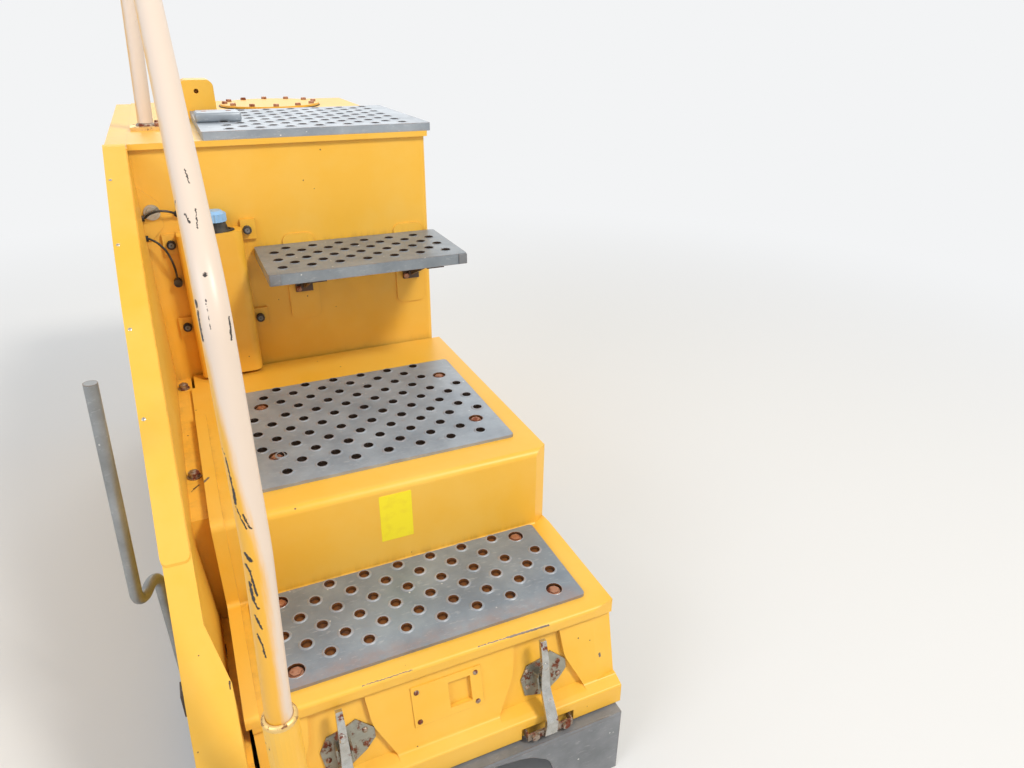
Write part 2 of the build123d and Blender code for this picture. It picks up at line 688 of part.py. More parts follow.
ROD_POINTS = ((-385, -608, 809), (-403, -608, 392), (-372, -540, 412), (-368, -535, 80))


def grab_rod():
    return bent_tube(ROD_POINTS, (26, 26), 10, 8)


def rod_lug():
    """Welded block on the left rail that holds the foot of the grab rod."""
    return block((-386, BASE_X[0]), (-555, -515), (64, 118)) - grab_rod()


# Cables on the tank's face, clear of the cover. Each runs between two glands.
CABLE_R = 3.0
UPPER_CABLE = ((-294, 4, 903), (-284, 0, 912), (-264, -2, 918), (-244, 2, 914), (-230, 11, 905))
LOWER_CABLE = ((-294, 0, 861), (-280, -4, 853), (-265, -8, 835), (-257, -8, 810), (-254, -2, 786),
               (-254, 6, 765))


def cable(points):
    """Cable with each bend as large as its two runs allow."""
    bends = []
    for before, here, after in zip(points, points[1:], points[2:]):
        first = Vector(*here) - Vector(*before)
        second = Vector(*after) - Vector(*here)
        turn = radians(first.get_angle(second))
        bends.append(0.45 * min(first.length, second.length) / tan(turn / 2))
    print("bends", [round(bend) for bend in bends])
    return bent_tube(points, bends, CABLE_R, 6)


def cable_glands():
    """Round glands at the cables' ends, on the casing and on the tank."""
    wall = CASING_X[1]
    parts = []
    for route in (UPPER_CABLE, LOWER_CABLE):
        x, y, z = route[0]
        parts.append(bar((wall, y, z), (x, y, z), 6.5, 10))
    x, y, z = UPPER_CABLE[-1]
    parts.append(bar((x, TANK_FRONT, z), (x, y, z), 6.5, 10))
    x, y, z = LOWER_CABLE[-1]
    parts.append(bar((x, TANK_FRONT, z - 9), (x, 0, z - 9), 9, 12))
    cables = [cable(UPPER_CABLE), cable(LOWER_CABLE)]
    return Compound(children=[part - cables for part in parts])


PARTS = {
    "base_deck": base_deck, "side_rails": side_rails, "cross_plates": cross_plates,
    "front_sill": front_sill, "storage_bin": storage_bin, "hinge_brackets": hinge_brackets,
    "hinge_pins": hinge_pins, "step_cover": step_cover, "cover_hinge_leaves": cover_hinge_leaves,
    "lower_tread": lambda: tread_plate(LOWER_TREAD),
    "middle_tread": lambda: tread_plate(MIDDLE_TREAD),
    "tread_bolts": tread_bolts, "latch_plates": latch_plates, "latch_levers": latch_levers,
    "latch_keepers": latch_keepers, "front_plate": front_plate, "tank_box": tank_box,
    "tank_rim": tank_rim, "top_tread": top_tread, "inspection_cover": inspection_cover,
    "filler_block": filler_block, "cantilever_step": cantilever_step,
    "step_brackets": step_brackets, "bottle_cover": bottle_cover, "bottle_neck": bottle_neck,
    "bottle_cap": bottle_cap, "plug_tabs": plug_tabs, "plugs": plugs, "tank_plug": tank_plug,
    "side_casing": side_casing, "side_strip": side_strip, "side_shelf": side_shelf,
    "shelf_bolts": shelf_bolts, "handrail": handrail, "handrail_socket": handrail_socket,
    "rail_foot": rail_foot, "grab_rod": grab_rod, "rod_lug": rod_lug,
    "upper_cable": lambda: cable(UPPER_CABLE), "lower_cable": lambda: cable(LOWER_CABLE),
    "cable_glands": cable_glands,
}
os.makedirs("parts", exist_ok=True)
for name, make in PARTS.items():
    shape = make()
    export_step(shape, f"parts/{name}.step")
    print(f"{name:20s} {shape.volume / 1e6:8.3f} litres")
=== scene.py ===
from math import cos, pi, radians, sin, tan

import bpy
from mathutils import Matrix, Vector


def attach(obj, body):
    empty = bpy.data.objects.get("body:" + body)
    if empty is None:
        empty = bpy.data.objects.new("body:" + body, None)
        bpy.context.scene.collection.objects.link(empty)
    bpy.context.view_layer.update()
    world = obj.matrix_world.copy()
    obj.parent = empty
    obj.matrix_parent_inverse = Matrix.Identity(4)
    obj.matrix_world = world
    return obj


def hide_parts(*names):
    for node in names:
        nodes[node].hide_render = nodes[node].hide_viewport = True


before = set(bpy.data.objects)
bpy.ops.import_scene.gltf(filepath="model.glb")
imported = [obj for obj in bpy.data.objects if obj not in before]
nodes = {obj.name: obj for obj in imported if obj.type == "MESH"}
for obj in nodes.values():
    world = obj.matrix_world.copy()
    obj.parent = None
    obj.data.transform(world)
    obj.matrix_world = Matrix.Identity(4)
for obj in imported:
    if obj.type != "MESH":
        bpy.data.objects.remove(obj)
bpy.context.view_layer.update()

bpy.ops.object.select_all(action="DESELECT")


# Camera of the photograph: a compact camera held at eye height, in front of the steps and a
# little to their left. Its place was worked out from the holes of the treads.
CAMERA_PLACE = (-0.2286, -1.7069, 1.2704)
CAMERA_YAW = radians(24.84)
CAMERA_PITCH = radians(-26.09)
CAMERA_ROLL = radians(0.58)
SENSOR_WIDTH, LENS = 36.0, 25.55     # mm

turn = (Matrix.Rotation(-CAMERA_YAW, 4, "Z")
        @ Matrix.Rotation(pi / 2 + CAMERA_PITCH, 4, "X")
        @ Matrix.Rotation(CAMERA_ROLL, 4, "Z"))
bpy.ops.object.camera_add()
camera = bpy.context.object
camera.matrix_world = Matrix.Translation(CAMERA_PLACE) @ turn
camera.data.sensor_width = SENSOR_WIDTH
camera.data.lens = LENS
camera.data.clip_start = 0.02
bpy.context.scene.camera = camera
bpy.context.scene.view_settings.view_transform = "Standard"


# Studio: a pale smooth floor that runs into a white backdrop, one large soft lamp high on the
# right as the sun stands in the photograph, and weaker ones from the left and from behind.
def linear(colour):
    """sRGB hex colour as the linear values that Blender takes."""
    parts = [int(colour[i:i + 2], 16) / 255 for i in (0, 2, 4)]
    return [v / 12.92 if v <= 0.04045 else ((v + 0.055) / 1.055) ** 2.4 for v in parts] + [1.0]


def add(tree, kind, settings, inputs):
    """Adds a node. An input is a plain value, or a socket to link from."""
    node = tree.nodes.new(kind)
    for key, value in settings.items():
        setattr(node, key, value)
    for key, value in inputs.items():
        if isinstance(value, bpy.types.NodeSocket):
            tree.links.new(value, node.inputs[key])
        else:
            node.inputs[key].default_value = value
    return node


def new_material(name):
    """Empty material with an output, as (material, tree, output)."""
    material = bpy.data.materials.new(name)
    material.use_nodes = True
    tree = material.node_tree
    tree.nodes.clear()
    return material, tree, tree.nodes.new("ShaderNodeOutputMaterial")


def seen_directly(tree):
    """1 for rays from the camera, and for those that metal mirrors or glass lets through."""
    path = add(tree, "ShaderNodeLightPath", {}, {}).outputs
    direct = add(tree, "ShaderNodeMath", {"operation": "MAXIMUM"},
                 {0: path["Is Camera Ray"], 1: path["Is Glossy Ray"]})
    return add(tree, "ShaderNodeMath", {"operation": "MAXIMUM"},
               {0: direct.outputs[0], 1: path["Is Transmission Ray"]}).outputs[0]


BACKDROP = linear("F3F4F5")
FLOOR_SIZE = 120.0
FLOOR_GAP = 0.0005           # keeps the floor clear of the feet
FLOOR_NEAR, FLOOR_FAR = 1.5, 4.2     # between these distances the floor turns to the backdrop
bpy.ops.mesh.primitive_plane_add(size=FLOOR_SIZE, location=(0, 0, -FLOOR_GAP))
floor = bpy.context.object
floor.name = "studio_floor"
material, tree, output = new_material("studio_floor")
matt = add(tree, "ShaderNodeBsdfPrincipled", {}, {"Base Color": linear("DCDCDA"), "Roughness": 0.75})
place = add(tree, "ShaderNodeTexCoord", {}, {}).outputs["Object"]
reach = add(tree, "ShaderNodeVectorMath", {"operation": "LENGTH"}, {0: place})
far = add(tree, "ShaderNodeMapRange", {"interpolation_type": "SMOOTHSTEP"},
          {"Value": reach.outputs["Value"], "From Min": FLOOR_NEAR, "From Max": FLOOR_FAR})
share = add(tree, "ShaderNodeMath", {"operation": "MULTIPLY"}, {0: far.outputs[0], 1: seen_directly(tree)})
glow = add(tree, "ShaderNodeEmission", {}, {"Color": BACKDROP})
both = add(tree, "ShaderNodeMixShader", {}, {0: share.outputs[0], 1: matt.outputs[0], 2: glow.outputs[0]})
tree.links.new(both.outputs[0], output.inputs[0])
floor.data.materials.append(material)

world = bpy.data.worlds.new("studio")
bpy.context.scene.world = world
world.use_nodes = True
tree = world.node_tree
tree.nodes.clear()
lit = add(tree, "ShaderNodeBackground", {}, {"Color": linear("EEF1F5"), "Strength": 0.58})
shown = add(tree, "ShaderNodeBackground", {}, {"Color": BACKDROP})
both = add(tree, "ShaderNodeMixShader", {}, {0: seen_directly(tree), 1: lit.outputs[0], 2: shown.outputs[0]})
world_output = tree.nodes.new("ShaderNodeOutputWorld")
tree.links.new(both.outputs[0], world_output.inputs[0])


def soft_lamp(name, place, target, size, power, colour):
    """Square lamp with soft shadows, turned to its target. Its power is in watts."""
    bpy.ops.object.light_add(type="AREA", location=place)
    lamp = bpy.context.object
    lamp.name = name
    lamp.rotation_euler = (Vector(target) - Vector(place)).to_track_quat("-Z", "Y").to_euler()
    lamp.data.size = size
    lamp.data.energy = power
    lamp.data.color = linear(colour)[:3]


soft_lamp("lamp_sun_side", place=(3.3, -4.8, 6.6), target=(0, -0.3, 0.5), size=1.5, power=460,
          colour="FFF8EE")
soft_lamp("lamp_left", place=(-3.4, -2.2, 2.8), target=(0, 0, 0.6), size=2.4, power=76,
          colour="F0F4FF")
soft_lamp("lamp_back", place=(0.5, 3.6, 3.4), target=(0, 0.3, 0.7), size=2.4, power=60,
          colour="FFFFFF")


# Base frame: hot-rolled plate, folded and welded, painted mid-grey. Boots and stones have worn
# the paint to a dull sheen with pale scuffs, dark patches and rust along its edges.
def coat(finish, *names):
    """Gives CAD nodes their finish."""
    for name in names:
        nodes[name].data.materials.clear()
        nodes[name].data.materials.append(finish)


def worn_edges(tree, width, worn, patches):
    """1 where an outer edge is rubbed bare, for a width in mm and in patches, so many to the metre."""
    place = add(tree, "ShaderNodeTexCoord", {}, {}).outputs["Object"]
    round_edge = add(tree, "ShaderNodeBevel", {"samples": 4}, {"Radius": width / 1000})
    flat = add(tree, "ShaderNodeNewGeometry", {}, {}).outputs["Normal"]
    bent = add(tree, "ShaderNodeVectorMath", {"operation": "DOT_PRODUCT"},
               {0: round_edge.outputs[0], 1: flat})
    edge = add(tree, "ShaderNodeMapRange", {}, {"Value": bent.outputs["Value"], "From Min": 0.985,
                                                "From Max": 0.82, "To Max": worn})
    rub = add(tree, "ShaderNodeTexNoise", {}, {"Vector": place, "Scale": patches, "Detail": 5.0,
                                               "Roughness": 0.7})
    rubbed = add(tree, "ShaderNodeMapRange", {}, {"Value": rub.outputs[0], "From Min": 0.42,
                                                  "From Max": 0.6})
    return add(tree, "ShaderNodeMath", {"operation": "MULTIPLY"},
               {0: edge.outputs[0], 1: rubbed.outputs[0]}).outputs[0]


def worn_grey(name, colour, dark, pale, rust, metal=0.3, scuffs=0.6, rusty=0.6, worn=0.7, front=()):
    """Worn grey paint. Rust spreads between the two values of y in front, given in mm."""
    material, tree, output = new_material(name)
    place = add(tree, "ShaderNodeTexCoord", {}, {}).outputs["Object"]
    # Clouds of 90 mm, where grease and dust have changed the paint.
    cloud = add(tree, "ShaderNodeTexNoise", {}, {"Vector": place, "Scale": 11.0, "Detail": 8.0,
                                                 "Roughness": 0.62})
    mix = add(tree, "ShaderNodeMapRange", {}, {"Value": cloud.outputs[0], "From Min": 0.35,
                                               "From Max": 0.65})
    base = add(tree, "ShaderNodeMix", {"data_type": "RGBA"},
               {"Factor": mix.outputs[0], "A": linear(dark), "B": linear(colour)})
    # Scuffs of 1 to 2 mm, long across the way of walking.
    along = add(tree, "ShaderNodeMapping", {}, {"Vector": place, "Scale": (0.3, 1, 1),
                                                "Rotation": (0, 0, 0.5)})
    scuff = add(tree, "ShaderNodeTexNoise", {}, {"Vector": along.outputs[0], "Scale": 150.0,
                                                 "Detail": 5.0, "Roughness": 0.72})
    line = add(tree, "ShaderNodeMapRange", {}, {"Value": scuff.outputs[0], "From Min": 0.57,
                                                "From Max": 0.78, "To Max": scuffs})
    scuffed = add(tree, "ShaderNodeMix", {"data_type": "RGBA"},
                  {"Factor": line.outputs[0], "A": base.outputs["Result"], "B": linear(pale)})
    # Bright nicks of 2 to 4 mm, one in every few cells of 28 mm.
    cell = add(tree, "ShaderNodeTexVoronoi", {}, {"Vector": place, "Scale": 36.0})
    jag = add(tree, "ShaderNodeMath", {"operation": "MULTIPLY_ADD"},
              {0: scuff.outputs[0], 1: 0.16, 2: cell.outputs["Distance"]})
    nick = add(tree, "ShaderNodeMapRange", {}, {"Value": jag.outputs[0], "From Min": 0.15,
                                                "From Max": 0.12, "To Max": 0.8})
    nicked = add(tree, "ShaderNodeMix", {"data_type": "RGBA"},
                 {"Factor": nick.outputs[0], "A": scuffed.outputs["Result"], "B": linear("E4E3DE")})
    spot = add(tree, "ShaderNodeTexNoise", {}, {"Vector": place, "Scale": 26.0, "Detail": 9.0,
                                                "Roughness": 0.75})
    stain = add(tree, "ShaderNodeMapRange", {}, {"Value": spot.outputs[0], "From Min": 0.62,
                                                 "From Max": 0.74, "To Max": rusty})
    bare = worn_edges(tree, 3.5, worn, 30.0)
    loss = add(tree, "ShaderNodeMath", {"operation": "MAXIMUM"}, {0: stain.outputs[0], 1: bare})
    if front:
        depth = add(tree, "ShaderNodeSeparateXYZ", {}, {0: place})
        band = add(tree, "ShaderNodeMapRange", {},
                   {"Value": depth.outputs[1], "From Min": front[0] / 1000, "From Max": front[1] / 1000})
        patchy = add(tree, "ShaderNodeMapRange", {}, {"Value": spot.outputs[0], "From Min": 0.35,
                                                      "From Max": 0.6, "To Max": 0.55})
        rubbed = add(tree, "ShaderNodeMath", {"operation": "MULTIPLY"},
                     {0: band.outputs[0], 1: patchy.outputs[0]})
        loss = add(tree, "ShaderNodeMath", {"operation": "MAXIMUM"},
                   {0: loss.outputs[0], 1: rubbed.outputs[0]})
    final = add(tree, "ShaderNodeMix", {"data_type": "RGBA"},
                {"Factor": loss.outputs[0], "A": nicked.outputs["Result"], "B": linear(rust)})
    grain = add(tree, "ShaderNodeBump", {}, {"Strength": 0.18, "Distance": 0.0006,
                                             "Height": scuff.outputs[0]})
    gloss = add(tree, "ShaderNodeMapRange", {}, {"Value": scuff.outputs[0], "To Min": 0.3,
                                                 "To Max": 0.6})
    surface = add(tree, "ShaderNodeBsdfPrincipled", {},
                  {"Base Color": final.outputs["Result"], "Roughness": gloss.outputs[0],
                   "Metallic": metal, "Normal": grain.outputs[0]})
    tree.links.new(surface.outputs[0], output.inputs[0])
    return material


frame_grey = worn_grey("grey_frame_enamel", "85878A", "6C6F72", "C2C2C0", "6B4A36", metal=0.1,
                       scuffs=0.45, rusty=0.4, worn=0.6)
coat(frame_grey, "base_deck", "side_rails", "cross_plates", "storage_bin")


# Pressed and folded sheet steel in yellow machine enamel, sprayed: slightly glossy, with a fine orange peel,
# faded where the sun reaches it, with painted shade that darkens its corners in streaks of dirt colour, and
# with chips and scrapes from use.
SWAY = 4.0                   # how far in mm a noise moves the sides of a scratch


def scored(tree, place, marks):
    """1 on scratches given as (start, end, width) in mm, with ragged sides."""
    shake = add(tree, "ShaderNodeTexNoise", {}, {"Vector": place, "Scale": 320.0, "Detail": 4.0})
    ragged = add(tree, "ShaderNodeVectorMath", {"operation": "MULTIPLY_ADD"},
                 {0: shake.outputs["Color"], 1: [SWAY / 1000] * 3, 2: place})
    total = 0.0
    for start, end, width in marks:
        first = Vector(start) / 1000 + Vector([SWAY / 2000] * 3)
        run = Vector(end) / 1000 - Vector(start) / 1000
        offset = add(tree, "ShaderNodeVectorMath", {"operation": "SUBTRACT"},
                     {0: ragged.outputs[0], 1: first})
        along = add(tree, "ShaderNodeVectorMath", {"operation": "DOT_PRODUCT"},
                    {0: offset.outputs[0], 1: run / run.length_squared})
        held = add(tree, "ShaderNodeClamp", {}, {"Value": along.outputs["Value"]})
        nearest = add(tree, "ShaderNodeVectorMath", {"operation": "SCALE"},
                      {0: run, "Scale": held.outputs[0]})
        gap = add(tree, "ShaderNodeVectorMath", {"operation": "DISTANCE"},
                  {0: offset.outputs[0], 1: nearest.outputs[0]})
        # The stroke fades from inside its half width to a little outside of it.
        ink = add(tree, "ShaderNodeMapRange", {},
                  {"Value": gap.outputs["Value"], "From Min": width / 1600, "From Max": width / 2600})
        total = add(tree, "ShaderNodeMath", {"operation": "MAXIMUM"},
                    {0: ink.outputs[0], 1: total}).outputs[0]
    return total


def sprayed_enamel(name, colour, faded, grime_and_shade, primer, fade=0.35, chips=0.35, rough=0.4, worn=0.3,
                   marks=(), ink="45362C"):
    """Glossy paint with orange peel, faded patches, painted shade in corners in streaks of dirt colour, chips
    and scratches.
    """
    material, tree, output = new_material(name)
    place = add(tree, "ShaderNodeTexCoord", {}, {}).outputs["Object"]
    cloud = add(tree, "ShaderNodeTexNoise", {}, {"Vector": place, "Scale": 5.0, "Detail": 6.0,
                                                 "Roughness": 0.6})
    spread = add(tree, "ShaderNodeMapRange", {}, {"Value": cloud.outputs[0], "From Min": 0.38,
                                                  "From Max": 0.68, "To Max": fade})
    paint = add(tree, "ShaderNodeMix", {"data_type": "RGBA"},
                {"Factor": spread.outputs[0], "A": linear(colour), "B": linear(faded)})
    # Painted shade: dirt-coloured darkening in corners and crevices, by ambient occlusion, broken into
    # streaks that run down.
    near = add(tree, "ShaderNodeAmbientOcclusion", {"samples": 5}, {"Distance": 0.03})
    corner = add(tree, "ShaderNodeMapRange", {}, {"Value": near.outputs["AO"], "From Min": 0.72,
                                                  "From Max": 0.15, "To Max": 0.8})
    streak_place = add(tree, "ShaderNodeMapping", {}, {"Vector": place, "Scale": (1, 1, 0.12)})
    streak = add(tree, "ShaderNodeTexNoise", {}, {"Vector": streak_place.outputs[0], "Scale": 42.0,
                                                  "Detail": 5.0, "Roughness": 0.65})
    patch = add(tree, "ShaderNodeMapRange", {}, {"Value": streak.outputs[0], "From Min": 0.42,
                                                 "From Max": 0.68})
    darkening = add(tree, "ShaderNodeMath", {"operation": "MULTIPLY"},
               {0: corner.outputs[0], 1: patch.outputs[0]})
    shaded_and_dirty = add(tree, "ShaderNodeMix", {"data_type": "RGBA"},
                {"Factor": darkening.outputs[0], "A": paint.outputs["Result"], "B": linear(grime_and_shade)})
    # Chips up to 3 mm, in a share of cells of 22 mm, and bare spots along the edges.
    fine = add(tree, "ShaderNodeTexNoise", {}, {"Vector": place, "Scale": 260.0, "Detail": 4.0})
    cell = add(tree, "ShaderNodeTexVoronoi", {}, {"Vector": place, "Scale": 45.0})
    chance = add(tree, "ShaderNodeSeparateColor", {}, {0: cell.outputs["Color"]})
    size = add(tree, "ShaderNodeMapRange", {}, {"Value": chance.outputs[0], "From Min": 1 - chips,
                                                "From Max": 1.0, "To Min": -0.05, "To Max": 0.14})
    jag = add(tree, "ShaderNodeMath", {"operation": "MULTIPLY_ADD"},
              {0: fine.outputs[0], 1: 0.12, 2: cell.outputs["Distance"]})
    depth = add(tree, "ShaderNodeMath", {"operation": "SUBTRACT"}, {0: size.outputs[0], 1: jag.outputs[0]})
    chipped = add(tree, "ShaderNodeMapRange", {}, {"Value": depth.outputs[0], "From Min": -0.01,
                                                   "From Max": 0.01})
    bare = worn_edges(tree, 1.6, worn, 24.0)
    loss = add(tree, "ShaderNodeMath", {"operation": "MAXIMUM"}, {0: chipped.outputs[0], 1: bare})
    final = add(tree, "ShaderNodeMix", {"data_type": "RGBA"},
                {"Factor": loss.outputs[0], "A": shaded_and_dirty.outputs["Result"], "B": linear(primer)})
    if marks:
        final = add(tree, "ShaderNodeMix", {"data_type": "RGBA"},
                    {"Factor": scored(tree, place, marks), "A": final.outputs["Result"], "B": linear(ink)})
    peel = add(tree, "ShaderNodeTexNoise", {}, {"Vector": place, "Scale": 380.0, "Detail": 2.0})
    bump = add(tree, "ShaderNodeBump", {}, {"Strength": 0.05, "Distance": 0.001,
                                            "Height": peel.outputs[0]})
    gloss = add(tree, "ShaderNodeMapRange", {}, {"Value": cloud.outputs[0], "To Min": rough - 0.1,
                                                 "To Max": rough + 0.16})
    surface = add(tree, "ShaderNodeBsdfPrincipled", {},
                  {"Base Color": final.outputs["Result"], "Roughness": gloss.outputs[0],
                   "Normal": bump.outputs[0], "IOR": 1.5})
    tree.links.new(surface.outputs[0], output.inputs[0])
    return material


YELLOW = {"colour": "EDB539", "faded": "F0CA6B", "grime_and_shade": "8F6E3C", "primer": "6B4A30"}
yellow_enamel = sprayed_enamel("yellow_enamel", **YELLOW)
coat(yellow_enamel, "front_sill", "tank_box", "tank_rim", "filler_block", "bottle_cover",
     "plug_tabs", "front_plate", "cover_hinge_leaves")


# Stepped cover over the bin, pressed from one 3 mm sheet. Boots and tools have scraped its nose
# to bare steel, and have left a small mark at its right end and one at its left edge.
COVER_MARKS = (
    ((97, -882, 354.5), (158, -883, 353.5), 2.2), ((150, -883, 353.5), (226, -884, 351.5), 3.6),
    ((-97, -882, 353.7), (-17, -883, 353), 1.5), ((329.2, -893, 249), (329.2, -893, 244), 5.0),
    ((-270, -492, 538), (-262, -481, 538), 5.0))
cover_enamel = sprayed_enamel("yellow_cover_enamel", **YELLOW, marks=COVER_MARKS, ink="6E6258")
coat(cover_enamel, "step_cover")


# Hinges of the cover: zinc-plated ears and pins, a dull grey metal with red-brown rust that
# starts at edges and joints.
def plated_steel(name, colour, dull, rust, amount, rough=0.34, shade_depth=0.0):
    """Plated steel with rust. Hollows, up to the depth given in metres, are darkened to near black as painted
    shade.
    """
    material, tree, output = new_material(name)
    place = add(tree, "ShaderNodeTexCoord", {}, {}).outputs["Object"]
    cloud = add(tree, "ShaderNodeTexNoise", {}, {"Vector": place, "Scale": 90.0, "Detail": 5.0})
    tone = add(tree, "ShaderNodeMix", {"data_type": "RGBA"},
               {"Factor": cloud.outputs[0], "A": linear(dull), "B": linear(colour)})
    spot = add(tree, "ShaderNodeTexNoise", {}, {"Vector": place, "Scale": 48.0, "Detail": 8.0,
                                                "Roughness": 0.7})
    limit = 0.68 - 0.25 * amount
    spotted = add(tree, "ShaderNodeMapRange", {}, {"Value": spot.outputs[0], "From Min": limit,
                                                   "From Max": limit + 0.06})
    rusty = add(tree, "ShaderNodeMath", {"operation": "MAXIMUM"},
                {0: spotted.outputs[0], 1: worn_edges(tree, 2.0, amount, 70.0)})
    final = add(tree, "ShaderNodeMix", {"data_type": "RGBA"},
                {"Factor": rusty.outputs[0], "A": tone.outputs["Result"], "B": linear(rust)})
    if shade_depth:
        # Painted shade: darkening in hollows, by ambient occlusion.
        near = add(tree, "ShaderNodeAmbientOcclusion", {"samples": 4}, {"Distance": shade_depth})
        hollow_shade = add(tree, "ShaderNodeMapRange", {}, {"Value": near.outputs["AO"], "From Min": 0.75,
                                                      "From Max": 0.3})
        final = add(tree, "ShaderNodeMix", {"data_type": "RGBA"},
                    {"Factor": hollow_shade.outputs[0], "A": final.outputs["Result"], "B": linear("20150E")})
    metal = add(tree, "ShaderNodeMapRange", {}, {"Value": rusty.outputs[0], "To Min": 0.9,
                                                 "To Max": 0.1})
    gloss = add(tree, "ShaderNodeMapRange", {}, {"Value": rusty.outputs[0], "To Min": rough,
                                                 "To Max": 0.85})
    bump = add(tree, "ShaderNodeBump", {}, {"Strength": 0.3, "Distance": 0.0006,
                                            "Height": spot.outputs[0]})
    surface = add(tree, "ShaderNodeBsdfPrincipled", {},
                  {"Base Color": final.outputs["Result"], "Roughness": gloss.outputs[0],
                   "Metallic": metal.outputs[0], "Normal": bump.outputs[0]})
    tree.links.new(surface.outputs[0], output.inputs[0])
    return material


zinc_plate = plated_steel("zinc_plated_steel", "D6D2C6", "A8A396", "74391F", 0.42)
rusty_screw = plated_steel("rusted_screw_steel", "C39A82", "99654A", "7A3E22", 0.7, rough=0.55)
coat(zinc_plate, "hinge_brackets", "hinge_pins")


# Treads: 6 mm anti-slip plate in grey paint, worn to a blue-grey sheen with pink rust at its edges. Each 19
# mm hole has a raised lip, punched from below. Its walls are rust-brown in the lower tread and nearly black
# in the others, as painted shade, and all are darkened deeper inside as painted shade.
HOLE_SIDES = 12
# Rings of a lip, as radius and height in mm. The third step has smaller holes.
LIP = ((9.6, -5.8), (14.3, -0.2), (11.7, 1.4), (9.7, 1.1), (9.1, -5.2))
SMALL_LIP = ((12.8, -0.2), (10.6, 1.2), (8.7, 0.9), (8.3, -4.6))
HOLE_WALL = 9.6              # radius in mm that takes in the wall of a hole
HOLE_PITCH, STEP_PITCH = 64, 60


def turned(rings, sides, floor=True):
    """Round form from rings in mm, each extruded from the last. Without a floor it is a closed ring."""
    radius, height = rings[0]
    bpy.ops.object.select_all(action="DESELECT")
    bpy.ops.mesh.primitive_circle_add(vertices=sides, radius=radius / 1000, location=(0, 0, height / 1000),
                                      fill_type="NGON" if floor else "NOTHING")
    bpy.ops.object.transform_apply(location=True, rotation=True, scale=True)
    piece = bpy.context.object
    bpy.ops.object.mode_set(mode="EDIT")
    bpy.ops.mesh.select_all(action="SELECT")
    ends = rings[1:] if floor else (*rings[1:], rings[0])
    for next_radius, next_height in ends:
        bpy.ops.mesh.extrude_region_move(
            TRANSFORM_OT_translate={"value": (0, 0, (next_height - height) / 1000)})
        ratio = next_radius / radius
        bpy.ops.transform.resize(value=(ratio, ratio, 1), center_override=(0, 0, next_height / 1000))
        radius, height = next_radius, next_height
    bpy.ops.mesh.select_all(action="SELECT")
    bpy.ops.mesh.remove_doubles(threshold=0.00001)
    bpy.ops.mesh.normals_make_consistent(inside=False)
    bpy.ops.object.mode_set(mode="OBJECT")
    return piece


def lined(piece, finish, lining, test):
    """Gives a piece its finish, and the faces that pass the test a second one."""
    piece.data.materials.append(finish)
    piece.data.materials.append(lining)
    bpy.ops.object.mode_set(mode="EDIT")
    bpy.ops.mesh.select_all(action="DESELECT")
    bpy.ops.object.mode_set(mode="OBJECT")
    for face in piece.data.polygons:
        face.select = test(face)
    bpy.ops.object.mode_set(mode="EDIT")
    piece.active_material_index = 1
    bpy.ops.object.material_slot_assign()
    bpy.ops.object.mode_set(mode="OBJECT")


def inner_wall(radius):
    """Test for faces within a radius in mm that don't look straight down."""
    return lambda face: Vector(face.center[:2]).length < radius / 1000 and face.normal.z > -0.5


def repeated(piece, places):
    """Moves a piece made at the origin to the first place in mm, and copies it to the others."""
    bpy.ops.object.mode_set(mode="EDIT")
    bpy.ops.mesh.select_all(action="SELECT")
    here = Vector(places[0]) / 1000
    bpy.ops.transform.translate(value=here)
    for spot in places[1:]:
        step = Vector(spot) / 1000 - here
        bpy.ops.mesh.duplicate_move(TRANSFORM_OT_translate={"value": step})
        here += step
    bpy.ops.object.mode_set(mode="OBJECT")


SMOOTH_ANGLE = radians(38)   # edges below it are shaded smooth


def fitted(piece, name, body, finish=None):
    """Names a finished piece, smooths its curves, gives it its finish if one is given, and ties it to its
    body.
    """
    bpy.ops.object.select_all(action="DESELECT")
    piece.select_set(True)
    bpy.context.view_layer.objects.active = piece
    bpy.ops.object.transform_apply(location=True, rotation=True, scale=True)
    bpy.ops.object.shade_smooth_by_angle(angle=SMOOTH_ANGLE)
    piece.name = name
    if finish:
        piece.data.materials.append(finish)
    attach(piece, body)


def staggered(first, pitch, rows, top):
    """Middles of holes, from rows of (row, first hole, last hole), the last two in pitches."""
    return [(first[0] + (start + i) * pitch, first[1] + row * pitch / 2, top)
            for row, start, end in rows for i in range(int(end - start) + 1)]


def even_rows(count):
    """Rows of seven and six holes in turn."""
    return [(row, 0.5 * (row % 2), 6 - 0.5 * (row % 2)) for row in range(count)]


tread_steel = worn_grey("worn_tread_steel", "A4ACB3", "8A929A", "D2D4D5", "9A6F55", metal=0.3, rusty=0.4)
# The lower tread's steel is a darker, bluer copy of the tread steel as painted shade, with rust along its
# front edge.
shaded_front_tread_steel = worn_grey("shaded_rust_edged_tread_steel", "8D979F", "76808A", "C6C8C9", "98817A", metal=0.3,
                              rusty=0.3, front=(-812, -838))
hole_rust = plated_steel("rusted_hole_steel", "A06C3E", "865630", "5C3820", 0.6, rough=0.8, shade_depth=0.01)
# The hole walls of the upper treads and the third step are nearly black, a painted shade for their dark
# insides.
shaded_hole_steel = plated_steel("painted_shade_hole_steel", "4A3C32", "382D26", "2C1D14", 0.6, rough=0.8, shade_depth=0.01)
step_steel = worn_grey("third_step_steel", "90979C", "757D84", "BFC2C3", "8A6C55", metal=0.3, rusty=0.35)
coat(shaded_front_tread_steel, "lower_tread")
coat(tread_steel, "middle_tread", "top_tread")
coat(step_steel, "cantilever_step")
